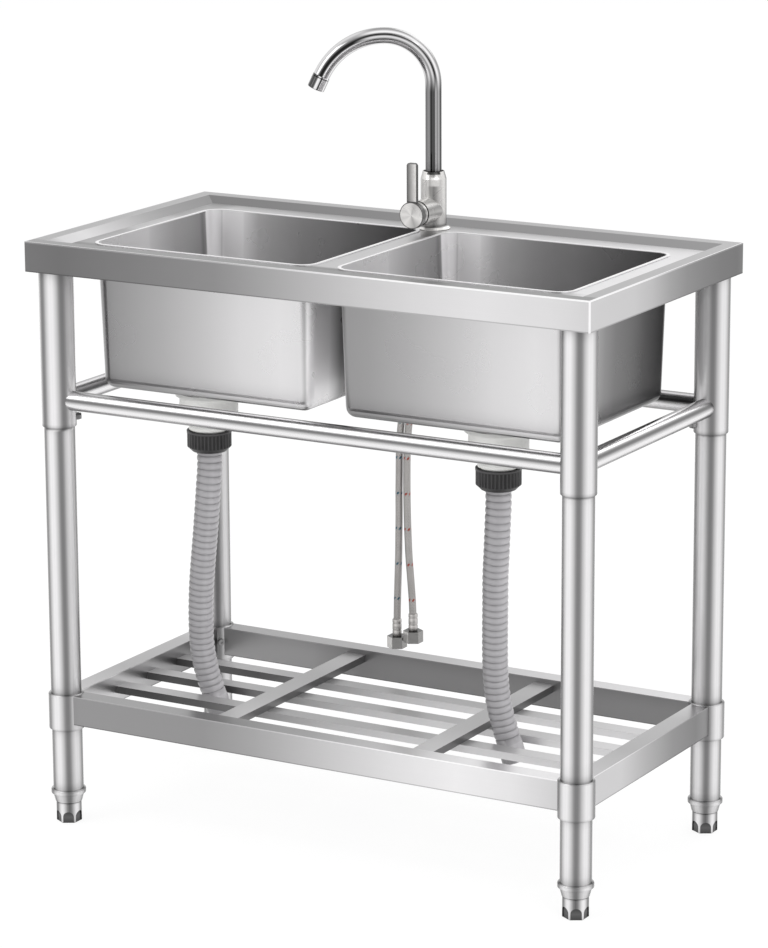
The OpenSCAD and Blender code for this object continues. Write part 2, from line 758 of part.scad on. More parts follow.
module set_screw(z) {
    translate([0, 0, z]) rotate([0, 90, 0]) difference() {
        union() {
            translate([0, 0, screw_tip_r]) cylinder(d = screw_d, h = boss_r - screw_tip_r);
            translate([0, 0, boss_r]) cylinder(d = screw_head_d, h = screw_head_h);
        }
        translate([0, 0, boss_r + screw_head_h / 3])
            cylinder(d = screw_key / cos(30), h = screw_head_h, $fn = 6);
    }
}

module set_screws() {
    color(dark_steel) for (sx = [-1, 1], sy = [-1, 1]) at_leg(sx, sy) facing_middle(sx, sy) {
        for (z = [socket_screw_z, sleeve_screw_z, spigot_screw_z]) set_screw(z);
    }
}

module at_drain(side) { translate([side * drain_x, drain_y, 0]) children(); }

module strainer(side) {
    r = strainer_cup_d / 2;
    color(bright_steel) at_drain(side) difference() {
        rotate_extrude() polygon([[0, strainer_low], [r, strainer_low], [r, flange_z],
            [strainer_d / 2, flange_z], [strainer_d / 2 - flange_t / 2, strainer_top],
            [r - cup_t, strainer_top], [r - cup_t, strainer_low + cup_t], [0, strainer_low + cup_t]]);
        translate([0, 0, strainer_low - over]) {
            cylinder(d = drain_bolt_d + 2 * slip_gap, h = cup_t + 2 * over);
            for (i = [0:drain_holes - 1]) rotate([0, 0, 360 / drain_holes * i])
                translate([drain_hole_r, 0, 0]) cylinder(d = drain_hole_d, h = cup_t + 2 * over);
        }
    }
}

module drain_gaskets() {
    hole_r = strainer_cup_d / 2 + hole_gap;
    color(black_rubber) for (side = [-1, 1]) at_drain(side) {
        pipe(strainer_d / 2 - gasket_t, hole_r, bowl_floor, flange_z);
        pipe(drain_rim_d / 2, hole_r, bowl_low - seal_t, bowl_low);
        pipe(hose_flange_d / 2, hose_bore_r, outlet_z - washer_t, outlet_z);
    }
}

module drain_body(side) {
    rim_top = bowl_low - seal_t;
    cup_in = strainer_cup_d / 2 + drain_cup_gap;
    cup_low = strainer_low - drain_wall;
    shoulder_z = union_z + union_h + union_gap;
    outlet_in = outlet_d / 2 - outlet_wall;
    color(white_plastic) at_drain(side) {
        difference() {
            rotate_extrude() polygon([[outlet_in, outlet_z], [outlet_d / 2, outlet_z],
                [outlet_d / 2, shoulder_z], [drain_shoulder_d / 2, shoulder_z],
                [drain_shoulder_d / 2, shoulder_z + drain_shoulder_h],
                [cup_in + drain_wall, cup_low + drain_wall], [cup_in + drain_wall, rim_top - drain_rim_h],
                [drain_rim_d / 2, rim_top - drain_rim_h], [drain_rim_d / 2, rim_top],
                [cup_in, rim_top], [cup_in, cup_low + drain_wall / 2],
                [outlet_in, shoulder_z + drain_shoulder_h / 2]]);
        }
        difference() {
            union() {
                for (turn = [0, 90]) rotate([0, 0, turn])
                    translate([-outlet_in - outlet_wall / 2, -web_t / 2, shoulder_z - web_h])
                        cube([2 * outlet_in + outlet_wall, web_t, web_h]);
                translate([0, 0, shoulder_z - web_h]) cylinder(d = web_boss_d, h = web_h);
            }
            translate([0, 0, shoulder_z - web_h - over])
                cylinder(d = drain_bolt_d + 2 * slip_gap, h = web_h + 2 * over);
        }
    }
}

module drain_screws() {
    head_z = strainer_low + cup_t;
    color(steel) for (side = [-1, 1]) at_drain(side) difference() {
        union() {
            translate([0, 0, head_z]) cylinder(d = drain_bolt_head_d, h = drain_bolt_head_h);
            translate([0, 0, head_z - drain_bolt_len]) cylinder(d = drain_bolt_d, h = drain_bolt_len);
        }
        translate([-drain_bolt_head_d, -cup_t / 2, head_z + drain_bolt_head_h / 2])
            cube([2 * drain_bolt_head_d, cup_t, drain_bolt_head_h]);
    }
}

module basket(side) {
    r = basket_d / 2;
    wall_mid = (basket_low + basket_top) / 2;
    color(bright_steel) at_drain(side) difference() {
        rotate_extrude() polygon([[0, basket_low], [r - basket_t, basket_low], [r, basket_low + basket_t],
            [r, basket_top - basket_rim_t], [basket_rim_d / 2, basket_top - basket_rim_t],
            [basket_rim_d / 2, basket_top], [r - basket_t, basket_top],
            [r - basket_t, basket_low + basket_t], [0, basket_low + basket_t]]);
        translate([0, 0, basket_low - over]) {
            cylinder(d = stem_d + 2 * slip_gap, h = basket_t + 2 * over);
            for (i = [0:floor_holes - 1]) rotate([0, 0, 360 / floor_holes * i]) translate([r / 2, 0, 0])
                cylinder(d = basket_hole_d, h = basket_t + 2 * over);
        }
        for (i = [0:basket_holes - 1]) rotate([0, 0, 360 / basket_holes * i])
            translate([r - 2 * basket_t, 0, wall_mid])
                rotate([0, 90, 0]) cylinder(d = basket_hole_d, h = 4 * basket_t);
    }
}

module basket_plug(side) {
    knob_low = basket_top + knob_gap;
    color(black_rubber) at_drain(side) difference() {
        union() {
            rotate_extrude() polygon([[0, plug_low], [plug_d / 2, plug_low],
                [plug_d / 2 - plug_h_disc / 2, plug_low + plug_h_disc], [0, plug_low + plug_h_disc]]);
            translate([0, 0, plug_low]) cylinder(d = stem_d, h = knob_low - plug_low + over);
            rotate_extrude() polygon([[0, knob_low], [knob_d / 3, knob_low],
                [knob_d / 2, knob_low + knob_h / 2], [knob_d / 2, knob_low + knob_h * 3 / 4],
                [knob_d / 3, knob_low + knob_h], [0, knob_low + knob_h]]);
        }
        translate([0, 0, plug_low - over]) cylinder(d = plug_hollow_d, h = plug_hollow_h + over);
    }
}

module union_nuts() {
    top = union_z + union_h;
    r = union_d / 2;
    color(black_plastic) for (side = [-1, 1]) at_drain(side) difference() {
        union() {
            rotate_extrude() polygon([[0, union_z], [r - 2 * union_lip, union_z],
                [r, union_z + 2 * union_lip], [r, top - union_bead_h],
                [r + union_bead, top - union_bead_h], [r + union_bead, top], [0, top]]);
            for (i = [0:union_ribs - 1]) rotate([0, 0, 360 / union_ribs * i])
                translate([r - union_rib_d * (0.5 - union_rib_share), 0, union_z + 2 * union_lip])
                    cylinder(d = union_rib_d, h = union_h - 2 * union_lip - union_bead_h / 2, $fn = 16);
        }
        translate([0, 0, hose_flange_z]) cylinder(d = outlet_d + 2 * slip_gap, h = union_h);
        translate([0, 0, union_z - over]) cylinder(r = hose_r + slip_gap, h = union_lip + 2 * over);
    }
}

// Points of a smooth curve through a route's points
function between(p, i, t) =
    let (a = p[max(i - 1, 0)], b = p[i], c = p[i + 1], d = p[min(i + 2, len(p) - 1)])
    0.5 * (2 * b + (c - a) * t + (2 * a - 5 * b + 4 * c - d) * t * t + (3 * b - a - 3 * c + d) * t * t * t);
function smooth(p, steps) = concat(
    [for (i = [0:len(p) - 2], k = [0:steps - 1]) between(p, i, k / steps)], [p[len(p) - 1]]);
function run_lengths(p, i = 0, sum = 0, out = []) = i == len(p) - 1 ? concat(out, [sum])
    : run_lengths(p, i + 1, sum + norm(p[i + 1] - p[i]), concat(out, [sum]));
function point_at(p, s, along) = let (i = run_holding(s, along, 0, len(along) - 1))
    p[i] + (p[i + 1] - p[i]) * (s - along[i]) / (along[i + 1] - along[i]);
function run_holding(s, along, a, b) = b - a <= 1 ? a : let (m = floor((a + b) / 2))
    along[m] <= s ? run_holding(s, along, m, b) : run_holding(s, along, a, m);
function unit(v) = v / norm(v);

// Rings round a centreline: one radius for each centre, all turned alike
function ring(centre, dir, r, sides) =
    let (u = unit([1, 0, 0] - dir * (dir * [1, 0, 0])), v = cross(dir, u))
    [for (k = [0:sides - 1]) centre + r * (cos(360 * k / sides) * u + sin(360 * k / sides) * v)];
function directions(p) = [for (i = [0:len(p) - 1]) unit(p[min(i + 1, len(p) - 1)] - p[max(i - 1, 0)])];
function side_faces(first, rows, sides, outside) = [for (i = [0:rows - 2], k = [0:sides - 1])
    let (a = first + i * sides + k, b = first + i * sides + (k + 1) % sides, c = a + sides, d = b + sides)
    each outside ? [[a, c, b], [b, c, d]] : [[a, b, c], [b, d, c]]];
function end_faces(out_row, in_row, sides, start) = [for (k = [0:sides - 1])
    let (a = out_row + k, b = out_row + (k + 1) % sides, c = in_row + k, d = in_row + (k + 1) % sides)
    each start ? [[a, b, c], [b, d, c]] : [[a, c, b], [b, c, d]]];

// A tube with a bore along two sets of rings
module hollow_sweep(out_centres, out_radii, in_centres, in_radii, sides) {
    out_dirs = directions(out_centres);
    in_dirs = directions(in_centres);
    points = concat(
        [for (i = [0:len(out_centres) - 1]) each ring(out_centres[i], out_dirs[i], out_radii[i], sides)],
        [for (i = [0:len(in_centres) - 1]) each ring(in_centres[i], in_dirs[i], in_radii[i], sides)]);
    inner = len(out_centres) * sides;
    polyhedron(points, concat(
        side_faces(0, len(out_centres), sides, true),
        side_faces(inner, len(in_centres), sides, false),
        end_faces(0, inner, sides, true),
        end_faces(inner - sides, len(points) - sides, sides, false)), convexity = 10);
}

// Puts a piece built up the z axis at a point, along a direction
module aimed(place, dir) {
    turn = atan2(dir[1], dir[0]);
    lean = acos(dir[2] / norm(dir));
    translate(place) rotate([0, lean, turn]) children();
}

// The least gap of a tube to itself, measured on points of its route
function least_gap(p, along, reach, d) = min([for (i = [0:4:len(p) - 1], j = [i:4:len(p) - 1])
    if (along[j] - along[i] > reach) norm(p[i] - p[j]) - d]);

module drain_hose(side, route, cuff_end) {
    fine = smooth(route, hose_steps);
    along = run_lengths(fine);
    ribs = round(along[len(along) - 1] / hose_pitch);
    pitch = along[len(along) - 1] / ribs;
    out_centres = [for (i = [0:2 * ribs]) point_at(fine, i * pitch / 2, along)];
    in_centres = [for (i = [0:ribs]) point_at(fine, i * pitch, along)];
    out_radii = [for (i = [0:2 * ribs]) i % 2 == 0 ? hose_r - hose_groove : hose_r];
    in_radii = [for (i = [0:ribs]) hose_bore_r];
    start = route[0];
    finish = route[len(route) - 1];
    cuff_dir = unit(cuff_end - finish);
    cuff_len = norm(cuff_end - finish);
    flange_top = hose_flange_z + hose_flange_t;
    echo(hose = side < 0 ? "left" : "right", ribs = ribs,
        length = along[len(along) - 1] + cuff_len + flange_top - start[2],
        least_gap_to_itself = least_gap(fine, along, 3 * hose_d, hose_d));
    color(grey_plastic) at_drain(side) {
        hollow_sweep(out_centres, out_radii, in_centres, in_radii, hose_sides);
        // The plain cuff clamped by the union nut
        translate([start[0], start[1], 0]) difference() {
            union() {
                translate([0, 0, start[2] - cuff_overlap])
                    cylinder(r = hose_r, h = flange_top - start[2] + cuff_overlap);
                translate([0, 0, hose_flange_z]) cylinder(d = hose_flange_d, h = hose_flange_t);
            }
            translate([0, 0, start[2] - cuff_overlap - over])
                cylinder(r = hose_r - cuff_wall, h = flange_top - start[2] + cuff_overlap + 2 * over);
        }
        // The plain cuff at the free end
        aimed(finish - cuff_dir * cuff_overlap, cuff_dir) rotate_extrude() polygon([
            [hose_r - cuff_wall, 0], [hose_r - cuff_step, 0],
            [hose_r - cuff_step, cuff_len + cuff_overlap - cuff_seat],
            [hose_r, cuff_len + cuff_overlap - cuff_seat],
            [hose_r, cuff_len + cuff_overlap], [hose_r - cuff_wall, cuff_len + cuff_overlap]]);
    }
}

module faucet_flange() {
    r = flange_d / 2;
    color(bright_steel) translate([faucet_x, faucet_y, 0]) rotate_extrude() polygon([
        [shank_d / 2 + slip_gap, deck_z], [r, deck_z], [r, deck_z + flange_h / 4],
        [r - flange_h / 2, deck_z + flange_h * 3 / 4], [body_d / 2 + flange_h / 5, body_z],
        [shank_d / 2 + slip_gap, body_z]]);
}

module at_faucet() { translate([faucet_x, faucet_y, 0]) children(); }

// Turns a piece built up the z axis to lie forward along the valve's barrel
module along_barrel() { at_faucet() translate([0, 0, barrel_z]) rotate([90, 0, 0]) children(); }

module faucet_body() {
    r = body_d / 2;
    color(bright_steel) difference() {
        union() {
            at_faucet() rotate_extrude() polygon([[0, body_z], [r, body_z], [r, body_top - 2 * body_chamfer],
                [bush_r + cup_wall, body_top], [0, body_top]]);
            along_barrel() cylinder(d = barrel_d, h = barrel_len);
        }
        // The spout's seat and the chamber below it
        at_faucet() translate([0, 0, chamber_low]) cylinder(r = bush_r + slip_gap, h = body_top);
        // The shank's thread and the two inlet ports
        at_faucet() translate([0, 0, body_z - over])
            cylinder(r = shank_d / 2 + slip_gap, h = shank_grip + over);
        for (side = [-1, 1]) at_faucet() translate([side * port_x, 0, body_z])
            cylinder(d = port_d + 2 * slip_gap, h = shank_grip + port_h);
        // The cartridge's seat and the nut's thread
        along_barrel() {
            translate([0, 0, cartridge_back]) cylinder(r = barrel_bore_r, h = barrel_len);
            translate([0, 0, cartridge_front]) cylinder(r = nut_thread_r + slip_gap, h = barrel_len);
            // Channels to the cartridge and back from it
            for (side = [-1, 1]) translate([side * port_x, -inlet_drop, 0])
                cylinder(d = channel_d, h = barrel_len / 2);
            translate([0, outlet_rise, 0]) cylinder(d = channel_d, h = barrel_len / 2);
        }
        at_faucet() translate([0, 0, barrel_z + outlet_rise - channel_d])
            cylinder(d = riser_bore_d, h = chamber_low - barrel_z - outlet_rise + channel_d + over);
    }
}

module cartridge() {
    color(white_plastic) along_barrel() difference() {
        translate([0, 0, cartridge_back]) cylinder(r = cartridge_r, h = cartridge_front - cartridge_back);
        translate([0, 0, rotor_back - rest_gap]) cylinder(r = rotor_r + slip_gap, h = cartridge_front);
        for (side = [-1, 1]) translate([side * port_x, -inlet_drop, cartridge_back - over])
            cylinder(d = channel_d, h = rotor_back);
        translate([0, outlet_rise, cartridge_back - over]) cylinder(d = channel_d / 2, h = rotor_back);
    }
}

module cartridge_rotor() {
    color(white_plastic) along_barrel() difference() {
        translate([0, 0, rotor_back]) cylinder(r = rotor_r, h = rotor_front - rotor_back);
        translate([-stem_w / 2 - rest_gap, -slot_h / 2, slot_back])
            cube([stem_w + 2 * rest_gap, slot_h, barrel_len]);
        translate([-rotor_r - over, 0, pivot_y]) rotate([0, 90, 0])
            cylinder(d = trunnion_d + 2 * slip_gap, h = 2 * (rotor_r + over));
    }
}

module cartridge_stem() {
    color(steel) along_barrel() union() {
        translate([-stem_w / 2, -stem_h / 2, stem_back]) cube([stem_w, stem_h, stem_front - stem_back]);
        translate([-trunnion_len / 2, 0, pivot_y]) rotate([0, 90, 0])
            cylinder(d = trunnion_d, h = trunnion_len);
    }
}

module cartridge_nut() {
    front = barrel_len + nut_len;
    color(bright_steel) along_barrel() rotate_extrude() polygon([
        [nut_in_r, cartridge_front], [nut_thread_r, cartridge_front], [nut_thread_r, barrel_len],
        [nut_out_r, barrel_len], [nut_out_r, front - nut_dome], [nut_out_r - nut_dome / 2, front],
        [nut_in_r + nut_flare, front], [nut_in_r, front - 2 * nut_flare]]);
}

module handle() {
    r = cap_d / 2;
    edge = cap_wall / 3;
    lever_front = cap_front - lever_inset;
    boss_back = cap_front - cap_face_t - socket_boss_len;
    color(bright_steel) along_barrel() difference() {
        union() {
            rotate_extrude() polygon([[0, cap_front], [r - edge, cap_front], [r, cap_front - edge],
                [r, cap_back], [r - cap_wall, cap_back], [r - cap_wall, cap_front - cap_face_t],
                [socket_boss_d / 2, cap_front - cap_face_t], [socket_boss_d / 2, boss_back], [0, boss_back]]);
            translate([0, 0, lever_front - lever_t]) {
                translate([-lever_w / 2, r - cap_wall * 3 / 4, 0])
                    cube([lever_w, lever_h - lever_tip_r - r + cap_wall * 3 / 4, lever_t]);
                translate([-lever_w / 2 + lever_tip_r, lever_h - 2 * lever_tip_r, 0])
                    cube([lever_w - 2 * lever_tip_r, 2 * lever_tip_r, lever_t]);
                for (side = [-1, 1]) translate([side * (lever_w / 2 - lever_tip_r), lever_h - lever_tip_r, 0])
                    cylinder(r = lever_tip_r, h = lever_t);
            }
        }
        // The socket that the stem fills, and the hole for its screw
        translate([-stem_w / 2, -stem_h / 2, boss_back - over])
            cube([stem_w, stem_h, stem_front - boss_back + over]);
        translate([0, -stem_h / 2, (stem_front + boss_back) / 2]) rotate([90, 0, 0])
            cylinder(d = grub_d + 2 * slip_gap, h = r);
    }
}

module handle_screw() {
    boss_back = cap_front - cap_face_t - socket_boss_len;
    color(dark_steel) along_barrel() translate([0, -stem_h / 2 - grub_gap, (stem_front + boss_back) / 2])
        rotate([90, 0, 0]) cylinder(d = grub_d, h = (socket_boss_d - stem_h) / 2 - 2 * grub_gap);
}

// The spout's plane: pieces are built towards -X and turned with the spout
module in_spout() { at_faucet() rotate([0, 0, spout_turn]) children(); }

module bend(r_bend, from, to, r_out, r_in) {
    rotate([90, 0, 0]) rotate([0, 0, from]) rotate_extrude(angle = to - from) translate([r_bend, 0])
        difference() {
            circle(r = r_out);
            circle(r = r_in);
        }
}

riser_top = deck_z + riser_h;
fall_end_x = bend_r + fall_r * sin(fall_angle);
fall_end_z = riser_top + bend_r - fall_r * (1 - cos(fall_angle));

module spout() {
    r_in = spout_r - spout_t;
    color(bright_steel) in_spout() {
        pipe(spout_r, r_in, spout_low, riser_top);
        pipe(spout_r + collar_ring, spout_r - spout_t / 2, spout_low, spout_low + collar_ring_h);
        translate([-bend_r, 0, riser_top]) bend(bend_r, 0, 90, spout_r, r_in);
        translate([-bend_r, 0, riser_top + bend_r - fall_r]) bend(fall_r, 90, 90 + fall_angle, spout_r, r_in);
    }
}

module spout_bush() {
    color(black_plastic) at_faucet() pipe(bush_r, spout_r + slip_gap, bush_low, bush_top);
}

module aerator() {
    r = aerator_d / 2;
    tail_r = spout_r - spout_t - slip_gap;
    tail_len = aerator_len / 3;
    screen_t = 2;
    holes = 12;
    color(bright_steel) in_spout() translate([-fall_end_x, 0, fall_end_z])
        rotate([0, fall_angle + 90, 180]) difference() {
            union() {
                cylinder(r = r, h = aerator_len);
                translate([0, 0, -tail_len]) cylinder(r = tail_r, h = tail_len + over);
            }
            translate([0, 0, -tail_len - over])
                cylinder(r = tail_r - spout_t, h = tail_len + aerator_len - 2 * screen_t + over);
            translate([0, 0, aerator_len - screen_t]) cylinder(r = r - 1.5 * spout_t, h = screen_t + over);
            for (i = [0:holes - 1]) rotate([0, 0, 360 / holes * i])
                translate([tail_r / 2, 0, aerator_len - 3 * screen_t])
                    cylinder(d = screen_t, h = 4 * screen_t, $fn = 16);
        }
}

module faucet_shank() {
    color(steel) at_faucet()
        pipe(shank_d / 2, shank_d / 2 - shank_t, deck_z - shank_len, body_z + shank_grip);
}

module mounting_washer() {
    color(steel) at_faucet()
        pipe(washer_d / 2, shank_d / 2 + slip_gap, deck_under - mount_washer_t, deck_under);
}

module mounting_nut() {
    top = deck_under - mount_washer_t;
    color(steel) at_faucet() difference() {
        translate([0, 0, top - mount_nut_h]) cylinder(d = mount_nut_d, h = mount_nut_h, $fn = 6);
        translate([0, 0, top - mount_nut_h - over])
            cylinder(r = shank_d / 2 + slip_gap, h = mount_nut_h + 2 * over);
    }
}

// A plain round tube swept along a route
module solid_sweep(p, r, sides) {
    dirs = directions(p);
    polyhedron([for (i = [0:len(p) - 1]) each ring(p[i], dirs[i], r, sides)],
        concat(side_faces(0, len(p), sides, true),
            [[for (k = [0:sides - 1]) k]],
            [[for (k = [0:sides - 1]) len(p) * sides - 1 - k]]), convexity = 10);
}

module supply_hose(route) {
    finish = route[len(route) - 1];
    start = route[0];
    color(steel) at_faucet() {
        solid_sweep(route, supply_d / 2, supply_sides);
        // The fitting in the faucet's body and the ferrule above the union nut
        translate([start[0], start[1], start[2] - over])
            cylinder(d = port_d, h = inlet_z - channel_d / 2 - start[2] + over);
        translate([finish[0], finish[1], finish[2] - ferrule_len / 2])
            cylinder(d = ferrule_d, h = ferrule_len);
        translate([finish[0], finish[1], finish[2] - ferrule_len / 2 - supply_nut_h / 2])
            cylinder(d = supply_tail_d, h = supply_nut_h / 2 + over);
    }
}

module supply_nuts() {
    color(steel) at_faucet() for (route = [hot_route, cold_route]) {
        finish = route[len(route) - 1];
        top = finish[2] - ferrule_len / 2 - slip_gap;
        thread_h = supply_nut_h / 2 - supply_seat_gap;
        translate([finish[0], finish[1], top - supply_nut_h]) difference() {
            rotate([0, 0, 30]) cylinder(d = supply_nut_af / cos(30), h = supply_nut_h, $fn = 6);
            translate([0, 0, -over]) cylinder(d = supply_thread_d, h = thread_h + 2 * over);
            translate([0, 0, thread_h])
                cylinder(d = supply_thread_d + 2 * supply_relief, h = supply_nut_h - supply_nut_lip - thread_h);
            cylinder(d = supply_tail_d + 2 * slip_gap, h = supply_nut_h + over);
        }
    }
}

sink_top();
bowl(-1);  // left_bowl
bowl(1);  // right_bowl
deck_braces();
leg_mounts();
leg_sleeve(-1, -1);  // front_left_sleeve
leg_sleeve(1, -1);  // front_right_sleeve
leg_sleeve(-1, 1);  // back_left_sleeve
leg_sleeve(1, 1);  // back_right_sleeve
leg(-1, -1);  // front_left_leg
leg(1, -1);  // front_right_leg
leg(-1, 1);  // back_left_leg
leg(1, 1);  // back_right_leg
foot_collars();
foot(-1, -1);  // front_left_foot
foot(1, -1);  // front_right_foot
foot(-1, 1);  // back_left_foot
foot(1, 1);  // back_right_foot
long_rail(-1);  // front_rail
long_rail(1);  // back_rail
short_rail(-1);  // left_rail
short_rail(1);  // right_rail
shelf_long_beam(-1);  // shelf_front_beam
shelf_long_beam(1);  // shelf_back_beam
shelf_short_beam(-1);  // shelf_left_beam
shelf_short_beam(1);  // shelf_right_beam
shelf_slats();
shelf_crossbars();
shelf_sockets();
set_screws();
strainer(-1);  // left_strainer
strainer(1);  // right_strainer
drain_gaskets();
drain_body(-1);  // left_drain_body
drain_body(1);  // right_drain_body
drain_screws();
basket(-1);  // left_basket
basket(1);  // right_basket
basket_plug(-1);  // left_basket_plug
basket_plug(1);  // right_basket_plug
union_nuts();
drain_hose(-1, left_route, left_cuff_end);  // left_drain_hose
drain_hose(1, right_route, right_cuff_end);  // right_drain_hose
faucet_flange();
faucet_body();
cartridge();
cartridge_rotor();
cartridge_stem();
cartridge_nut();
handle();
handle_screw();
spout();
spout_bush();
aerator();
faucet_shank();
mounting_washer();
mounting_nut();
supply_hose(hot_route);  // hot_hose
supply_hose(cold_route);  // cold_hose
supply_nuts();
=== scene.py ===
import math
import bpy
import bmesh
from mathutils import Matrix, Vector


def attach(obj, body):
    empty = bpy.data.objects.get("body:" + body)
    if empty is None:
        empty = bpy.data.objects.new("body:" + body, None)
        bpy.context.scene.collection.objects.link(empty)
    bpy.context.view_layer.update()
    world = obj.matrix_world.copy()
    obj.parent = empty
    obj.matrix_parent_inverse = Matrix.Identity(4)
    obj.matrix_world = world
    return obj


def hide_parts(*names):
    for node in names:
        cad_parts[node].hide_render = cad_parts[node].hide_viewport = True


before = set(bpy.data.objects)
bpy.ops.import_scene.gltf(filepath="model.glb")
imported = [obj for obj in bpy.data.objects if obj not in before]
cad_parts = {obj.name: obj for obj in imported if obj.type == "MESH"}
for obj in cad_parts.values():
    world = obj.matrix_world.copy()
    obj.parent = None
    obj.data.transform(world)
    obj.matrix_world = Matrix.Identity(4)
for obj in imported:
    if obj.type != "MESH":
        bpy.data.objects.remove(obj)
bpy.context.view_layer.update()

# Kitchen sink unit: the imported model is dressed with finer meshes and metal whose colour carries painted
# reflections and shade.
# Metres, in the same frame as the imported model: origin on the floor, +Z up, -Y the front.
print("frame loaded with", len(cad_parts), "nodes")

cameraView = {
    "eye": (2.4952, -4.3278, 1.7232),
    "azimuth": 29.961,
    "elevation": 13.882,
    "roll": -0.278,
    "focal": 3892.1,       # pixels
    "longSide": 948,       # pixels
}


def makeCamera(view):
    a, e, r = (math.radians(view[key]) for key in ("azimuth", "elevation", "roll"))
    back = Vector((math.sin(a) * math.cos(e), -math.cos(a) * math.cos(e), math.sin(e)))
    level = Vector((math.cos(a), math.sin(a), 0))
    upright = back.cross(level)
    right = level * math.cos(r) + upright * math.sin(r)
    up = upright * math.cos(r) - level * math.sin(r)
    data = bpy.data.cameras.new("camera")
    data.sensor_width = 36
    data.lens = view["focal"] / view["longSide"] * data.sensor_width
    data.clip_start, data.clip_end = 0.05, 100
    camera = bpy.data.objects.new("camera", data)
    turn = Matrix((right, up, back)).transposed().to_4x4()
    camera.matrix_world = Matrix.Translation(Vector(view["eye"])) @ turn
    bpy.context.scene.collection.objects.link(camera)
    bpy.context.scene.camera = camera


makeCamera(cameraView)
bpy.context.scene.view_settings.view_transform = "Standard"


# Shader tools

def grey(level):
    # a screen level of 0 to 255 as the linear value that the shaders use
    share = level / 255
    return share / 12.92 if share <= 0.04045 else ((share + 0.055) / 1.055) ** 2.4


class Link:
    # a socket that takes part in sums
    def __init__(self, shader, socket):
        self.shader = shader
        self.socket = socket

    def maths(self, operation, *others):
        return self.shader.node("ShaderNodeMath", {"operation": operation}, self, *others)

    def __add__(self, other):
        return self.maths("ADD", other)

    __radd__ = __add__

    def __mul__(self, other):
        return self.maths("MULTIPLY", other)

    __rmul__ = __mul__

    def __sub__(self, other):
        return self.maths("SUBTRACT", other)

    def __rsub__(self, other):
        return self * -1 + other

    def __truediv__(self, other):
        return self.maths("DIVIDE", other)


class Shader:
    # the nodes of one material, with its object coordinates, normal and map at hand
    def __init__(self, name):
        self.material = bpy.data.materials.new(name)
        self.material.use_nodes = True
        self.tree = self.material.node_tree
        self.tree.nodes.clear()
        where = self.tree.nodes.new("ShaderNodeTexCoord")
        self.place = Link(self, where.outputs["Object"])
        self.facing = Link(self, where.outputs["Normal"])
        self.uv = Link(self, where.outputs["UV"])
        self.x, self.y, self.z = self.split(self.place)
        self.nx, self.ny, self.nz = self.split(self.facing)

    # a node of a kind, with its settings and with sockets given in order, by number or by name
    def node(self, kind, settings, *values, out=0, at={}, **named):
        made = self.tree.nodes.new(kind)
        for key, value in settings.items():
            if key == "stops":
                self.setStops(made.color_ramp, value)
            else:
                setattr(made, key, value)
        for key, value in [*enumerate(values), *at.items(), *named.items()]:
            socket = made.inputs[key if isinstance(key, int) else key.replace("_", " ")]
            if isinstance(value, Link):
                self.tree.links.new(value.socket, socket)
            else:
                socket.default_value = value
        return Link(self, made.outputs[out]) if made.outputs else None

    def setStops(self, ramp, stops):
        while len(ramp.elements) < len(stops):
            ramp.elements.new(0.5)
        for element, (position, level) in zip(ramp.elements, stops):
            element.position = position
            element.color = (level, level, level, 1)

    def split(self, vector):
        made = self.tree.nodes.new("ShaderNodeSeparateXYZ")
        self.tree.links.new(vector.socket, made.inputs[0])
        return [Link(self, made.outputs[i]) for i in range(3)]

    # the screen level, or the plain factor, at a place between stops such as metres along a sheet
    def tone(self, value, stops, plain=False):
        low, high = stops[0][0], stops[-1][0]
        share = self.node("ShaderNodeMapRange", {"clamp": True}, value, low, high, 0.0, 1.0)
        scaled = [((place - low) / (high - low), level if plain else grey(level)) for place, level in stops]
        return self.node("ShaderNodeValToRGB", {"stops": scaled}, share)

    # 0 below the first place, 1 above the second
    def step(self, value, low, high):
        return self.node("ShaderNodeMapRange", {"clamp": True, "interpolation_type": "SMOOTHSTEP"},
                         value, low, high, 0.0, 1.0)

    # 1 in a narrow line round a place
    def line(self, value, at, width):
        return self.step((value - at).maths("ABSOLUTE"), width, width * 0.5)

    def blend(self, mask, low, high):
        return low + (high - low) * mask

    def lined(self, tone, level, *masks):
        for mask in masks:
            tone = self.blend(mask, tone, grey(level) + mask * 0)
        return tone

    def noise(self, scale, detail, roughness):
        stretched = self.node("ShaderNodeVectorMath", {"operation": "MULTIPLY"}, self.place, scale)
        return self.node("ShaderNodeTexNoise", {}, Vector=stretched, Scale=1.0, Detail=detail,
                         Roughness=roughness)

    # degrees round an axis, from two offsets across it
    def degrees(self, across, along):
        return along.maths("ARCTAN2", across) * (180 / math.pi)

    def tinted(self, tone, tint):
        return self.node("ShaderNodeVectorMath", {"operation": "SCALE"}, tint, Scale=tone)

    def finish(self, **sockets):
        surface = self.node("ShaderNodeBsdfPrincipled", {}, **sockets)
        self.node("ShaderNodeOutputMaterial", {}, surface)
        return self.material


# Metals

grainSizes = {
    "x": (6.0, 900.0, 900.0),      # brush lines that run along X
    "y": (900.0, 6.0, 900.0),
    "z": (900.0, 900.0, 6.0),
    "round": (500.0, 500.0, 500.0),
}
smearSizes = (14.0, 14.0, 14.0)
neutral = (1.0, 0.99, 1.0)
warm = (1.0, 0.985, 0.965)


def metal(s, tone, grain="x", roughness=0.3, tint=neutral, depth=0.02, metallic=1.0, relief=0.03):
    # painted level, which carries painted reflections and shade, with brush lines in colour and relief, and
    # soft smears from handling
    lines = s.noise(grainSizes[grain], 3.0, 0.6) - 0.5
    smears = s.noise(smearSizes, 3.0, 0.55) - 0.5
    colour = s.tinted(tone * (lines * depth * 2 + smears * 0.05 + 1), tint)
    gloss = smears * 0.06 + roughness
    sockets = {"Base_Color": colour, "Metallic": metallic, "Roughness": gloss}
    if relief:
        sockets["Normal"] = s.node("ShaderNodeBump", {}, Strength=relief, Distance=0.0002, Height=lines)
    return s.finish(**sockets)


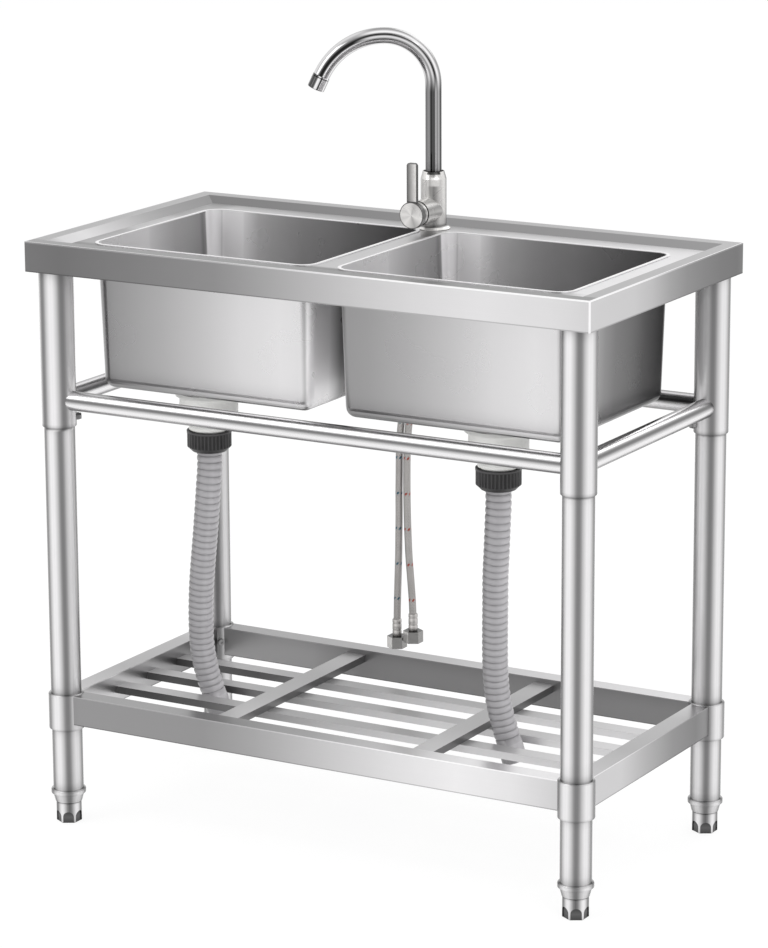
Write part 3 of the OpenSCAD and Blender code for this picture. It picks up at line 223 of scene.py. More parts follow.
# The reflections round a polished tube: a dark band that faces the front right and four more round the tube
bandTurn = 72                    # degrees between two bands
bandStops = [(0, 122), (4, 124), (9, 146), (15, 186), (21, 212), (27, 231), (31, 240), (36, 236)]


def bands(s, turn, start, stops=bandStops):
    return s.tone((turn - start).maths("PINGPONG", bandTurn / 2), stops)


def upright(s, centreX, centreY):
    # the angle round an upright tube, also for the four legs by their mirrored places
    return s.degrees(s.x - centreX, s.y - centreY)


legPlace = {"x": 0.386, "y": 0.190}
railHeight = 0.586
drainPlace = {"x": 0.218, "y": -0.085}


def bandStart(sideX):
    # where a leg's dark band sits, 10 degrees apart on the left and on the right legs
    return sideX * -5 - 57.5


# shade along the legs: dark lines where a sleeve, a socket or a collar ends, soft shade beside them
legShade = [(0.029, 0.8), (0.0395, 0.9), (0.0402, 0.5), (0.041, 1.0), (0.0463, 1.0), (0.047, 0.5),
            (0.0485, 0.66), (0.058, 0.93), (0.075, 1.0), (0.120, 1.0), (0.1312, 0.9), (0.132, 0.5),
            (0.1335, 1.0), (0.1800, 1.0), (0.1815, 0.8), (0.1823, 0.42), (0.1838, 0.6), (0.193, 0.92),
            (0.21, 1.0), (0.54, 1.0), (0.5485, 0.92), (0.5500, 0.38), (0.5515, 0.5), (0.5535, 0.92),
            (0.5560, 1.0), (0.74, 1.0), (0.7868, 0.86)]


def legSteel():
    s = Shader("leg_steel")
    sideX, sideY = s.x.maths("SIGN"), s.y.maths("SIGN")
    turn = upright(s, sideX * legPlace["x"], sideY * legPlace["y"])
    # the front left sleeve has its dark band further to the right
    sleeve = s.step(s.z, 0.545, 0.55) * s.step(s.x * -1, 0.0, 0.1) * s.step(s.y * -1, 0.0, 0.1)
    tone = bands(s, turn, bandStart(sideX) + sleeve * 14) * s.tone(s.z, legShade, True)
    return metal(s, tone, "z", 0.24, metallic=0.35)


def railSteel(name, along):
    s = Shader(name)
    if along == "x":
        turn = s.degrees(s.y - s.y.maths("SIGN") * legPlace["y"], s.z - railHeight)
        return metal(s, bands(s, turn, 164), "x", 0.24)
    turn = s.degrees(s.x - s.x.maths("SIGN") * legPlace["x"], s.z - railHeight)
    return metal(s, bands(s, turn, 26), "y", 0.24)


def byFaces(s, base, tones):
    # other tones, painted reflections and shade, on the faces that look to one of the four sides
    looks = {"front": s.ny * -1, "back": s.ny, "left": s.nx * -1, "right": s.nx}
    for side, tone in tones.items():
        base = s.blend(s.step(looks[side], 0.55, 0.75), base, tone)
    return base


def sheetSteel():
    s = Shader("sheet_steel")
    # painted reflections: the rim, the deck and the slopes change in tone along the sheet
    rim = s.tone(s.x, [(-0.415, 160), (0.0, 158), (0.415, 160)])
    deck = s.tone(s.x, [(-0.38, 156), (-0.35, 160), (-0.33, 195), (-0.15, 182), (0.0, 184), (0.06, 192),
                        (0.1, 206), (0.3, 217), (0.38, 220)])
    # a painted highlight at the deck's left end
    light = s.step(s.y, -0.06, -0.02) * s.step(s.y, 0.09, 0.05) * s.step(s.x, -0.345, -0.355)
    deck = s.blend(light, deck, grey(190) + light * 0)
    frontDeck = s.tone(s.x, [(-0.38, 112), (0.2, 102), (0.345, 118), (0.36, 190), (0.38, 217)])
    deck = s.blend(s.step(s.y, -0.157, -0.145), frontDeck, deck)
    frontRim = s.tone(s.x, [(-0.415, 140), (-0.3, 126), (0.0, 120), (0.415, 116)])
    rim = s.blend(s.step(s.y * -1, 0.196, 0.1999), rim, frontRim)
    top = s.blend(s.step(s.z, 0.7925, 0.7935), deck, rim)
    # the slopes: those at the sides lean in X, the others in Y
    leftSlope = s.tone(s.y, [(-0.20, 170), (-0.17, 206), (-0.12, 212), (-0.07, 196), (-0.02, 178),
                             (0.03, 160), (0.08, 146), (0.2, 128)])
    rightSlope = s.tone(s.y, [(-0.20, 170), (-0.12, 186), (0.0, 168), (0.2, 150)])
    backSlope = s.tone(s.x, [(-0.38, 124), (-0.1, 136), (0.0, 142), (0.38, 148)])
    top = s.blend(s.step(s.nx, 0.25, 0.35), top, leftSlope)
    top = s.blend(s.step(s.nx * -1, 0.25, 0.35), top, rightSlope)
    top = s.blend(s.step(s.ny * -1, 0.25, 0.35), top, backSlope)
    # the folds catch the light as thin lines
    wide, deep = s.x.maths("ABSOLUTE"), s.y.maths("ABSOLUTE")
    within = s.step(deep, 0.2006, 0.1998) * s.step(wide, 0.3956, 0.3948)
    top = s.lined(top, 232, s.line(wide, 0.4143, 0.0015), s.line(deep, 0.2193, 0.0015))
    top = s.lined(top, 176, s.line(wide, 0.395, 0.0009) * within, s.line(deep, 0.2, 0.0009) * within)
    across = [(-0.415, 122), (-0.36, 117), (-0.25, 129), (-0.12, 144), (-0.04, 168), (0.06, 196), (0.17, 218),
              (0.27, 228), (0.36, 223), (0.413, 214)]
    tones = {
        "front": s.tone(s.x, across),
        "right": s.tone(s.y, [(-0.22, 209), (-0.1, 203), (-0.05, 190), (0.0, 162), (0.05, 140), (0.1, 127),
                              (0.15, 116), (0.2, 110), (0.22, 122)]),
        "back": s.tone(s.x * -1, across),
        "left": s.tone(s.y, [(-0.22, 140), (-0.1, 176), (0.05, 212), (0.22, 190)]),
    }
    sides = byFaces(s, top, tones)
    # painted highlight along the apron's top edge, painted shade along its lower edge and a painted highlight
    # down the front right corner
    upwards = s.step(s.nz, 0.5, 0.8)
    sides = s.blend(s.line(s.z, 0.7994, 0.0016) * (1 - upwards), sides, sides * 1.6)
    sides = s.blend(s.line(s.z, 0.7604, 0.0014) * (1 - upwards), sides, sides * 0.66)
    sides = s.lined(sides, 250, s.step(s.nx * s.ny * -1, 0.2, 0.32) * s.step(s.x, 0.0, 0.1))
    return metal(s, sides, "x", 0.3)


bowlPlace = {"x": 0.185, "y": -0.0075, "width": 0.330, "depth": 0.295}


def bowlSteel():
    s = Shader("bowl_steel")
    fromMiddle = s.x - s.x.maths("SIGN") * bowlPlace["x"]
    deep = s.y - bowlPlace["y"]
    # inside, where a wall faces the bowl's own middle and the floor faces up
    inwards = s.step(s.nz * 0.05 - s.nx * fromMiddle - s.ny * deep, -0.002, 0.002)
    # painted reflections and shade on the inner walls and the floor
    leftIn = s.tone(s.y, [(-0.155, 190), (-0.12, 232), (-0.05, 230), (-0.018, 176), (0.012, 156),
                          (0.042, 136), (0.073, 124), (0.104, 111), (0.112, 90), (0.119, 110), (0.124, 235),
                          (0.134, 246)])
    backIn = s.tone(fromMiddle, [(-0.165, 246), (-0.157, 244), (-0.150, 160), (-0.145, 240), (-0.130, 232),
                                 (-0.114, 175), (-0.091, 137), (-0.068, 122), (-0.045, 112), (-0.02, 103),
                                 (0.0, 99), (0.025, 95), (0.048, 86), (0.071, 78), (0.094, 70), (0.12, 58),
                                 (0.15, 45), (0.165, 55)])
    rightIn = s.tone(s.y, [(-0.155, 120), (-0.1, 150), (0.0, 190), (0.08, 215), (0.13, 150)])
    frontIn = s.tone(fromMiddle, [(-0.165, 70), (-0.1, 100), (0.0, 140), (0.1, 190), (0.165, 220)])
    floor = s.tone(fromMiddle, [(-0.165, 210), (-0.05, 200), (0.05, 190), (0.165, 170)])
    inside = byFaces(s, floor, {"right": leftIn, "front": backIn, "left": rightIn, "back": frontIn})
    # the walls shade one another, so they are painted lighter than they should look
    inside = (inside * 1.9).maths("MINIMUM", 0.92)
    # painted reflections on the outer walls
    frontOut = s.tone(fromMiddle, [(-0.167, 124), (-0.160, 150), (-0.12, 157), (-0.06, 174), (0.0, 194),
                                   (0.06, 215), (0.12, 225), (0.150, 222), (0.157, 176), (0.167, 170)])
    rightOut = s.tone(s.y, [(-0.165, 176), (-0.150, 176), (-0.146, 232), (-0.135, 168), (-0.12, 188),
                            (-0.098, 214), (-0.075, 166), (-0.045, 138), (-0.015, 118), (0.03, 106),
                            (0.07, 90), (0.12, 78), (0.132, 56), (0.14, 50)])
    # painted shade where the two walls between the bowls face one another, with a painted highlight at their
    # front
    between = s.step(s.x.maths("ABSOLUTE"), 0.034, 0.030)
    inGap = s.tone(s.y, [(-0.155, 254), (-0.1, 254), (-0.085, 215), (-0.07, 150), (-0.05, 110), (0.14, 90)])
    rightOut = s.blend(between, rightOut, inGap)
    outside = byFaces(s, s.tone(s.x, [(-0.4, 130), (0.4, 150)]),
                      {"front": frontOut, "right": rightOut, "back": backIn, "left": leftIn})
    # shade towards the foot of the outer walls and a dark line round it
    outside = outside * s.tone(s.z, [(0.598, 0.35), (0.600, 0.4), (0.6025, 0.8), (0.612, 0.95),
                                     (0.63, 1.0)], True)
    tone = s.blend(inwards, outside, inside)
    # a painted highlight along the bowls' top rim
    tone = s.lined(tone, 240, s.step(s.z, 0.7921, 0.7923))
    return metal(s, tone, "z", 0.28, depth=0.006, relief=0,
                 metallic=1 - inwards.maths("MAXIMUM", between) * 0.6)


def boxed(s, tone, low, high, halfWide):
    # painted highlights along the upper folds and the top's edges, and painted shade along the lower folds of
    # a box section
    upwards = s.step(s.nz, 0.5, 0.8)
    tone = s.blend(s.line(s.z, high, 0.0012) * (1 - upwards), tone, tone * 1.35)
    tone = s.blend(s.line(s.z, low, 0.0012) * (1 - upwards), tone, tone * 0.6)
    edge = s.line((s.y.maths("ABSOLUTE") - legPlace["y"]).maths("ABSOLUTE"), halfWide, 0.0010)
    return s.blend(edge * upwards, tone, tone * 1.25)


def beamSteel():
    s = Shader("beam_steel")
    top = s.tone(s.x, [(-0.39, 146), (-0.2, 150), (-0.1, 130), (0.0, 150), (0.15, 200), (0.25, 236),
                       (0.39, 228)])
    side = s.tone(s.y, [(-0.19, 196), (-0.05, 168), (0.1, 176), (0.19, 208)])
    ends = s.step(s.x.maths("ABSOLUTE"), 0.371, 0.373) * s.step(s.y.maths("ABSOLUTE"), 0.178, 0.176)
    top = s.blend(ends, top, side)
    tones = {
        "front": s.tone(s.x, [(-0.39, 149), (-0.16, 148), (-0.08, 166), (0.02, 196), (0.12, 220),
                              (0.22, 236), (0.3, 228), (0.39, 198)]),
        "right": s.tone(s.y, [(-0.19, 205), (-0.09, 205), (-0.02, 176), (0.06, 141), (0.13, 124),
                              (0.19, 160)]),
        "back": s.tone(s.x, [(-0.39, 190), (0.0, 160), (0.39, 124)]),
        "left": s.tone(s.y, [(-0.19, 110), (0.0, 130), (0.19, 160)]),
    }
    return metal(s, boxed(s, byFaces(s, top, tones), 0.1414, 0.1806, 0.013), "x", 0.3)


def backBeamSteel():
    s = Shader("back_beam_steel")
    top = s.tone(s.x, [(-0.39, 150), (-0.1, 170), (0.1, 200), (0.39, 226)])
    tones = {
        "front": s.tone(s.x, [(-0.39, 150), (-0.22, 148), (-0.14, 126), (0.2, 124), (0.39, 132)]),
        "back": s.tone(s.x, [(-0.39, 200), (0.0, 170), (0.39, 130)]),
    }
    return metal(s, boxed(s, byFaces(s, top, tones), 0.1414, 0.1806, 0.013), "x", 0.3, metallic=0.6)


def slatSteel():
    s = Shader("slat_steel")
    top = s.tone(s.x, [(-0.38, 186), (-0.25, 176), (-0.12, 160), (0.0, 160), (0.12, 166), (0.2, 184),
                       (0.38, 222)])
    tones = {
        "front": s.tone(s.x, [(-0.38, 76), (-0.24, 84), (-0.19, 112), (-0.12, 152), (-0.04, 186), (0.1, 214),
                              (0.38, 228)]),
        "back": s.tone(s.x, [(-0.38, 200), (0.0, 150), (0.38, 90)]),
    }
    return metal(s, byFaces(s, top, tones), "x", 0.3, metallic=0.4)


def crossSteel():
    s = Shader("crossbar_steel")
    top = s.tone(s.y, [(-0.18, 200), (-0.06, 170), (0.06, 160), (0.18, 180)])
    tones = {
        "right": s.tone(s.y, [(-0.18, 130), (0.0, 110), (0.18, 96)]),
        "left": s.tone(s.y, [(-0.18, 180), (0.18, 210)]),
    }
    return metal(s, byFaces(s, top, tones), "y", 0.3, metallic=0.5)


def plainSteel(name, level, roughness=0.32):
    s = Shader(name)
    # painted light: lighter on faces that look up, to the right and to the front, darker on those that look
    # down, to the left and to the back
    tone = s.tone(s.nz + s.nx * 0.6 - s.ny * 0.4, [(-1.2, level - 40), (0.0, level), (1.2, level + 25)])
    return metal(s, tone, "round", roughness)


def footMetal():
    s = Shader("foot_metal")
    sideX, sideY = s.x.maths("SIGN"), s.y.maths("SIGN")
    dx, dy = s.x - sideX * legPlace["x"], s.y - sideY * legPlace["y"]
    stops = [(0, 100), (10, 130), (20, 190), (28, 226), (36, 236)]
    outer = bands(s, s.degrees(dx, dy), bandStart(sideX), stops)
    # painted shade: darker towards the floor, under the collar and in the recess round the leg's axis
    outer = outer * s.tone(s.z, [(0.0, 0.55), (0.003, 0.8), (0.008, 1.0), (0.0255, 1.0), (0.0287, 0.7)], True)
    recess = s.tone(s.z, [(0.0, 70), (0.008, 96), (0.017, 62), (0.019, 40)])
    radius = (dx * dx + dy * dy).maths("SQRT")
    return metal(s, s.blend(s.step(radius, 0.0158, 0.0168), recess, outer), "z", 0.3)


# Mixer: turns are measured from the side that faces the front right, positive towards the right

faucetPlace = {"x": -0.012, "y": 0.158, "barrelZ": 0.8185, "facing": -60}
# painted reflections round the body, by its turn, and round the barrel
bodyStops = [(-180, 150), (-90, 150), (-76, 196), (-52, 232), (-26, 224), (-8, 176), (0, 146), (10, 176),
             (26, 222), (52, 234), (66, 206), (74, 96), (80, 70), (86, 150), (90, 160), (180, 150)]
barrelStops = [(-180, 90), (-140, 70), (-100, 110), (-60, 176), (-30, 206), (0, 190), (20, 150), (40, 176),
               (75, 210), (110, 206), (140, 120), (180, 90)]


def faucetNickel():
    s = Shader("faucet_nickel")
    turn = upright(s, faucetPlace["x"], faucetPlace["y"]) - faucetPlace["facing"]
    turn = (turn / 360 + 0.5).maths("FRACT") * 360 - 180
    body = s.tone(turn, bodyStops)
    # painted shade in the notch under the spout, with a painted highlight below it
    near = s.step(turn.maths("ABSOLUTE"), 34, 22)
    body = s.lined(body, 246, near * s.step(s.z, 0.850, 0.853) * s.step(s.z, 0.864, 0.862))
    body = s.lined(body, 52, s.step(turn.maths("ABSOLUTE"), 40, 32) * s.step(s.z, 0.8655, 0.8675))
    body = body * s.tone(s.z, [(0.790, 0.9), (0.7945, 1.0), (0.7958, 0.9), (0.7966, 0.35), (0.7985, 0.45),
                               (0.801, 0.9), (0.81, 1.0)], True)
    # painted reflections on the flange: a bright band between darker edges
    flange = s.tone(s.z, [(0.792, 120), (0.7928, 200), (0.7935, 250), (0.7955, 236), (0.7963, 120)])
    body = s.blend(s.step(s.z, 0.7968, 0.7962), body, flange)
    across, rise = s.x - faucetPlace["x"], s.z - faucetPlace["barrelZ"]
    forward = s.y * -1 + faucetPlace["y"]
    barrel = s.tone(s.degrees(across, rise), barrelStops)
    # dark seam lines where the nut and the barrel meet, and a painted highlight between them
    barrel = s.lined(barrel, 70, s.line(forward, 0.0432, 0.0008), s.line(forward, 0.0518, 0.0007))
    barrel = s.lined(barrel, 246, s.line(forward, 0.0450, 0.0009))
    radius = (across * across + forward * forward).maths("SQRT")
    onBarrel = s.step(radius, 0.0176, 0.0180) * s.step(forward, 0.0, 0.002)
    onBarrel = onBarrel * s.step(rise, 0.0185, 0.0180) * s.step(rise, -0.0205, -0.0200)
    return metal(s, s.blend(onBarrel, body, barrel), "round", 0.27, warm, 0.005, 0.5, 0)


def handleNickel():
    s = Shader("handle_nickel")
    across, rise = s.x - faucetPlace["x"], s.z - faucetPlace["barrelZ"]
    # the cap's face: painted reflections in sectors round its middle, and a painted shade ring at its rim
    capReflections = s.tone(s.degrees(across, rise), [(-180, 250), (-158, 230), (-130, 252), (-100, 226), (-70, 186),
                                            (-45, 216), (-20, 250), (10, 238), (40, 224), (70, 204),
                                            (95, 236), (120, 253), (150, 232), (180, 250)])
    radius = (across * across + rise * rise).maths("SQRT")
    capReflections = s.lined(capReflections, 92, s.step(radius, 0.0164, 0.0171))
    # the lever's face: painted reflections, dark at its left and light at its right, with darker edges,
    # darker along its top and a dark line where it meets the cap
    lever = s.tone(across, [(-0.0075, 70), (-0.0066, 108), (-0.003, 154), (0.001, 200), (0.0045, 232),
                            (0.0062, 246), (0.0068, 130), (0.0075, 60)])
    lever = s.lined(lever, 100, s.step(rise, 0.0685, 0.0694))
    lever = s.lined(lever, 90, s.line(rise, 0.0180, 0.0009))
    face = s.blend(s.step(rise, 0.0176, 0.0180), capReflections, lever)
    # painted shade on the handle's sides
    side = s.tone(s.degrees(across, rise), [(-180, 70), (-90, 90), (-20, 120), (20, 84), (70, 60), (180, 70)])
    return metal(s, s.blend(s.step(s.ny * -1, 0.6, 0.8), side, face), "z", 0.27, warm, 0.005, 0.2, 0)


# painted reflections round the riser, the crown of the bend, the arch and the aerator, by the turn round the
# tube
riserStops = [(-180, 150), (-90, 180), (-72, 150), (-62, 88), (-50, 130), (-32, 146), (-26, 120), (-22, 66),
              (-14, 46), (-7, 86), (0, 76), (7, 80), (11, 130), (15, 190), (22, 150), (30, 134), (38, 184),
              (43, 170), (50, 92), (62, 58), (72, 120), (84, 210), (90, 220), (180, 150)]
crownStops = [(-180, 150), (-90, 130), (-72, 200), (-62, 235), (-48, 122), (-36, 180), (-27, 234), (-18, 158),
              (-10, 142), (-3, 213), (3, 232), (10, 120), (14, 36), (19, 36), (24, 129), (31, 240), (38, 252),
              (46, 208), (54, 166), (63, 147), (76, 172), (86, 220), (90, 200), (180, 150)]
archStops = [(-180, 150), (-90, 90), (-76, 50), (-68, 190), (-50, 246), (-36, 226), (-29, 120), (-23, 226),
             (-12, 250), (-7, 150), (-2, 38), (14, 34), (21, 96), (30, 150), (44, 182), (58, 222), (74, 214),
             (84, 150), (90, 130), (180, 150)]
aeratorStops = [(-180, 120), (-90, 84), (-70, 110), (-58, 236), (-16, 246), (-12, 70), (-4, 58), (0, 226),
                (14, 250), (20, 120), (28, 66), (62, 84), (80, 150), (90, 160), (180, 120)]


def turnAndRun(s, way=1):
    # the turn round a swept tube, in degrees to the right of its marked side, and the metres along it
    turn, run = s.split(s.uv)[:2]
    return ((turn + 0.5).maths("FRACT") - 0.5) * 360 * way, run


def spoutChrome():
    s = Shader("spout_chrome")
    turn = turnAndRun(s)[0]
    crown, arch = s.tone(turn, crownStops), s.tone(turn, archStops)
    tone = s.blend(s.step(s.z, 0.975, 1.005), s.tone(turn, riserStops), crown)
    tone = s.blend(s.step(s.x, -0.075, -0.1), tone, arch)
    # painted shade low on the spout, near the bush
    tone = tone * s.tone(s.z, [(0.8427, 0.5), (0.8700, 0.5), (0.874, 0.85), (0.885, 1.0)], True)
    return metal(s, tone, "round", 0.12, neutral, 0.0, relief=0)


def aeratorChrome():
    s = Shader("aerator_chrome")
    turn = turnAndRun(s)[0]
    mark = s.node("ShaderNodeAttribute", {"attribute_name": "paint"}, out=2)
    # painted shade: darker in the seam groove and in the recessed screen
    tone = s.tone(turn, aeratorStops) * s.tone(mark, [(0, 0.12), (1, 1.0)], True)
    return metal(s, tone, "round", 0.15, neutral, 0.0, relief=0)


def nutChrome():
    s = Shader("nut_chrome")
    # painted reflections by the way each face looks, and faces that look up painted dark
    tone = s.tone(s.nx - s.ny * 0.5, [(-1.1, 150), (-0.6, 176), (-0.1, 214), (0.45, 244), (0.62, 196),
                                      (1.1, 140)])
    tone = s.lined(tone, 60, s.step(s.nz, 0.6, 0.8))
    return metal(s, tone, "round", 0.22, warm, metallic=0.7)


# Plastics and rubber

def plastic(name, level, tint, roughness, speck=0.04):
    s = Shader(name)
    mottle = s.noise((40.0, 40.0, 40.0), 4.0, 0.6) - 0.5
    grain = s.noise((900.0, 900.0, 900.0), 2.0, 0.5) - 0.5
    colour = s.tinted((mottle * speck * 2 + 1) * grey(level), tint)
    relief = s.node("ShaderNodeBump", {}, Strength=0.15, Distance=0.0002, Height=grain)
    return s.finish(Base_Color=colour, Roughness=mottle * 0.1 + roughness, Normal=relief)


def hosePlastic():
    # pale grey and a little see-through, with painted shade in the grooves between the ribs and painted light
    # round the hose: lighter to one side, darker to the other
    s = Shader("hose_plastic")
    turn = turnAndRun(s, -1)[0]
    mottle = s.noise((30.0, 30.0, 30.0), 4.0, 0.6) - 0.5
    swell = s.node("ShaderNodeAttribute", {"attribute_name": "paint"}, out=2)
    tone = s.tone(swell, [(0.0, 146), (0.4, 166), (0.75, 182), (1.0, 190)])
    across = [(-180, 0.8), (-90, 0.3), (-74, 0.46), (-58, 0.6), (-40, 0.8), (0, 0.94), (20, 1.14), (45, 1.28),
              (66, 1.26), (80, 1.22), (90, 1.1), (180, 0.8)]
    tone = tone * s.tone(turn, across, True)
    colour = s.tinted(tone * (mottle * 0.3 + 1.0), (0.985, 0.962, 1.0))
    return s.finish(Base_Color=colour, Roughness=mottle * 0.1 + 0.34, Coat_Weight=0.25)


def nutPlastic():
    # black ribs that catch a little painted light, and a bead with a painted highlight on its edge
    s = Shader("black_plastic")
    turn = s.degrees(s.x - s.x.maths("SIGN") * drainPlace["x"], s.y - drainPlace["y"])
    rib = s.tone(turn.maths("PINGPONG", 5), [(0, 74), (2.2, 46), (5, 24)])
    plain = s.tone(s.z, [(0.514, 40), (0.519, 46), (0.537, 42), (0.5385, 24), (0.5405, 90), (0.542, 50)])
    tone = s.blend(s.step(s.z, 0.5195, 0.5205) * s.step(s.z, 0.5395, 0.5385), plain, rib)
    return s.finish(Base_Color=s.tinted(tone, (1, 0.97, 1.0)), Roughness=0.42, Specular_IOR_Level=0.35)


weave = {
    "strands": 14,         # round the hose, in each of the two sets
    "lean": 230,           # crossings of one line along the hose, in a metre
    "beats": 20,           # flecks of colour in a metre
    "fleckStrands": 5,
    "fleckLean": 90,
}


def braid(name, flecks):
    # two crossed sets of fine strands on the hose's own map, with a coloured fleck now and then,
    # and the smooth ferrule where the map is painted as one
    s = Shader(name)
    turn, run = turnAndRun(s, -1)
    turn = turn / 360
    lean = run * weave["lean"]
    one = (turn * weave["strands"] + lean).maths("PINGPONG", 0.5) * 2
    two = (turn * weave["strands"] - lean).maths("PINGPONG", 0.5) * 2
    woven = one.maths("MAXIMUM", two)
    wear = s.noise((60.0, 60.0, 60.0), 3.0, 0.6) - 0.5
    tone = s.tone(woven, [(0.3, 138), (0.6, 196), (0.85, 222), (1.0, 232)]) * (wear * 0.3 + 0.8)
    # painted shade towards the hose's sides
    across = [(-180, 0.7), (-90, 0.55), (-60, 0.85), (-20, 1.0), (30, 1.0), (65, 0.8), (90, 0.5), (180, 0.7)]
    across = s.tone(turn * 360, across, True)
    smooth = s.node("ShaderNodeAttribute", {"attribute_name": "paint"}, out=2)
    shine = [(-180, 140), (-90, 110), (-60, 170), (-25, 226), (10, 180), (40, 220), (80, 120), (180, 140)]
    ferrule = s.tone(turn * 360, shine)
    tone = s.blend(smooth, tone * across, ferrule)
    steel = s.tinted(tone, (1.0, 0.965, 0.94))
    beat = (run * weave["beats"]).maths("PINGPONG", 0.5) * 2
    strand = (turn * weave["fleckStrands"] + run * weave["fleckLean"]).maths("PINGPONG", 0.5) * 2
    spot = s.step(beat, 0.9, 0.95) * s.step(strand, 0.4, 0.55) * (1 - smooth)
    colour = s.node("ShaderNodeMix", {"data_type": "RGBA"}, spot, out=2, at={6: steel, 7: (*flecks, 1)})
    relief = s.node("ShaderNodeBump", {}, Strength=0.5, Distance=0.0004, Height=woven * (1 - smooth))
    return s.finish(Base_Color=colour, Metallic=0.75, Roughness=wear * 0.2 + 0.36, Normal=relief)


materials = {
    "sheet": sheetSteel(),
    "bowl": bowlSteel(),
    "leg": legSteel(),
    "railX": railSteel("rail_steel_long", "x"),
    "railY": railSteel("rail_steel_short", "y"),
    "beam": beamSteel(),
    "backBeam": backBeamSteel(),
    "slat": slatSteel(),
    "cross": crossSteel(),
    "brace": plainSteel("brace_steel", 150),
    "strainer": plainSteel("strainer_steel", 190, 0.2),
    "fastener": plainSteel("fastener_steel", 120),
    "foot": footMetal(),
    "nickel": faucetNickel(),
    "handle": handleNickel(),
    "spout": spoutChrome(),
    "aerator": aeratorChrome(),
    "chrome": nutChrome(),
    "rubber": plastic("black_rubber", 34, (1, 1, 1), 0.7),
    "black": nutPlastic(),
    "white": plastic("drain_plastic", 250, (1, 1, 0.98), 0.4, 0.02),
    "hose": hosePlastic(),
    "hotBraid": braid("hot_braid", (0.05, 0.12, 0.16)),
    "coldBraid": braid("cold_braid", (0.34, 0.07, 0.05)),
}

corners = [f"{end}_{side}" for end in ("front", "back") for side in ("left", "right")]
nodeMaterials = {
    "sheet": ["sink_top"],
    "bowl": ["left_bowl", "right_bowl"],
    "leg": [f"{corner}_{part}" for corner in corners for part in ("sleeve", "leg")]
    + ["foot_collars", "shelf_sockets"],
    "railX": ["front_rail", "back_rail"],
    "railY": ["left_rail", "right_rail"],
    "beam": ["shelf_front_beam", "shelf_left_beam", "shelf_right_beam"],
    "backBeam": ["shelf_back_beam"],
    "slat": ["shelf_slats"],
    "cross": ["shelf_crossbars"],
    "brace": ["deck_braces", "leg_mounts"],
    "strainer": ["left_strainer", "right_strainer", "left_basket", "right_basket"],
    "fastener": ["set_screws", "drain_screws", "cartridge_stem", "handle_screw", "mounting_washer",
                 "mounting_nut"],
    "foot": [f"{corner}_foot" for corner in corners],
    "nickel": ["faucet_flange", "faucet_body", "cartridge_nut", "faucet_shank"],
    "handle": ["handle"],
    "chrome": ["supply_nuts"],
    "spout": ["spout", "aerator"],
    "rubber": ["drain_gaskets", "left_basket_plug", "right_basket_plug"],
    "black": ["union_nuts", "spout_bush"],
    "white": ["left_drain_body", "right_drain_body", "cartridge", "cartridge_rotor"],
    "hose": ["left_drain_hose", "right_drain_hose"],
    "hotBraid": ["hot_hose"],
    "coldBraid": ["cold_hose"],
}
for key, names in nodeMaterials.items():
    for name in names:
        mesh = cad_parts[name].data
        mesh.materials.clear()
        mesh.materials.append(materials[key])
print("materials:", len(materials))


# Mesh tools

def piece(name, mesh, material, body, smoothAngle=40):
    bmesh.ops.remove_doubles(mesh, verts=mesh.verts, dist=0.00001)
    bmesh.ops.recalc_face_normals(mesh, faces=mesh.faces)
    for face in mesh.faces:
        face.smooth = True
    for edge in mesh.edges:
        edge.smooth = len(edge.link_faces) == 2 and edge.calc_face_angle() < math.radians(smoothAngle)
    data = bpy.data.meshes.new(name)
    mesh.to_mesh(data)
    mesh.free()
    made = bpy.data.objects.new(name, data)
    bpy.context.scene.collection.objects.link(made)
    data.materials.append(materials[material])
    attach(made, body)
    return made


def curvePoints(points, count):
    # evenly spaced points on the smooth curve through a route
    def between(a, b, c, d, t):
        bend, twist = a * 2 - b * 5 + c * 4 - d, b * 3 - a - c * 3 + d
        return (b * 2 + (c - a) * t + bend * t * t + twist * t ** 3) / 2
    ends = [points[0] * 2 - points[1]] + points + [points[-1] * 2 - points[-2]]
    fine, parts = [], 16
    for i in range(1, len(ends) - 2):
        fine += [between(*ends[i - 1:i + 3], part / parts) for part in range(parts)]
    fine.append(points[-1])
    runs = [0.0]
    for a, b in zip(fine, fine[1:]):
        runs.append(runs[-1] + (b - a).length)
    even, at = [], 0
    for i in range(count):
        want = runs[-1] * i / (count - 1)
        while at < len(fine) - 2 and runs[at + 1] < want:
            at += 1
        share = (want - runs[at]) / max(runs[at + 1] - runs[at], 1e-9)
        even.append(fine[at].lerp(fine[at + 1], min(max(share, 0), 1)))
    return even


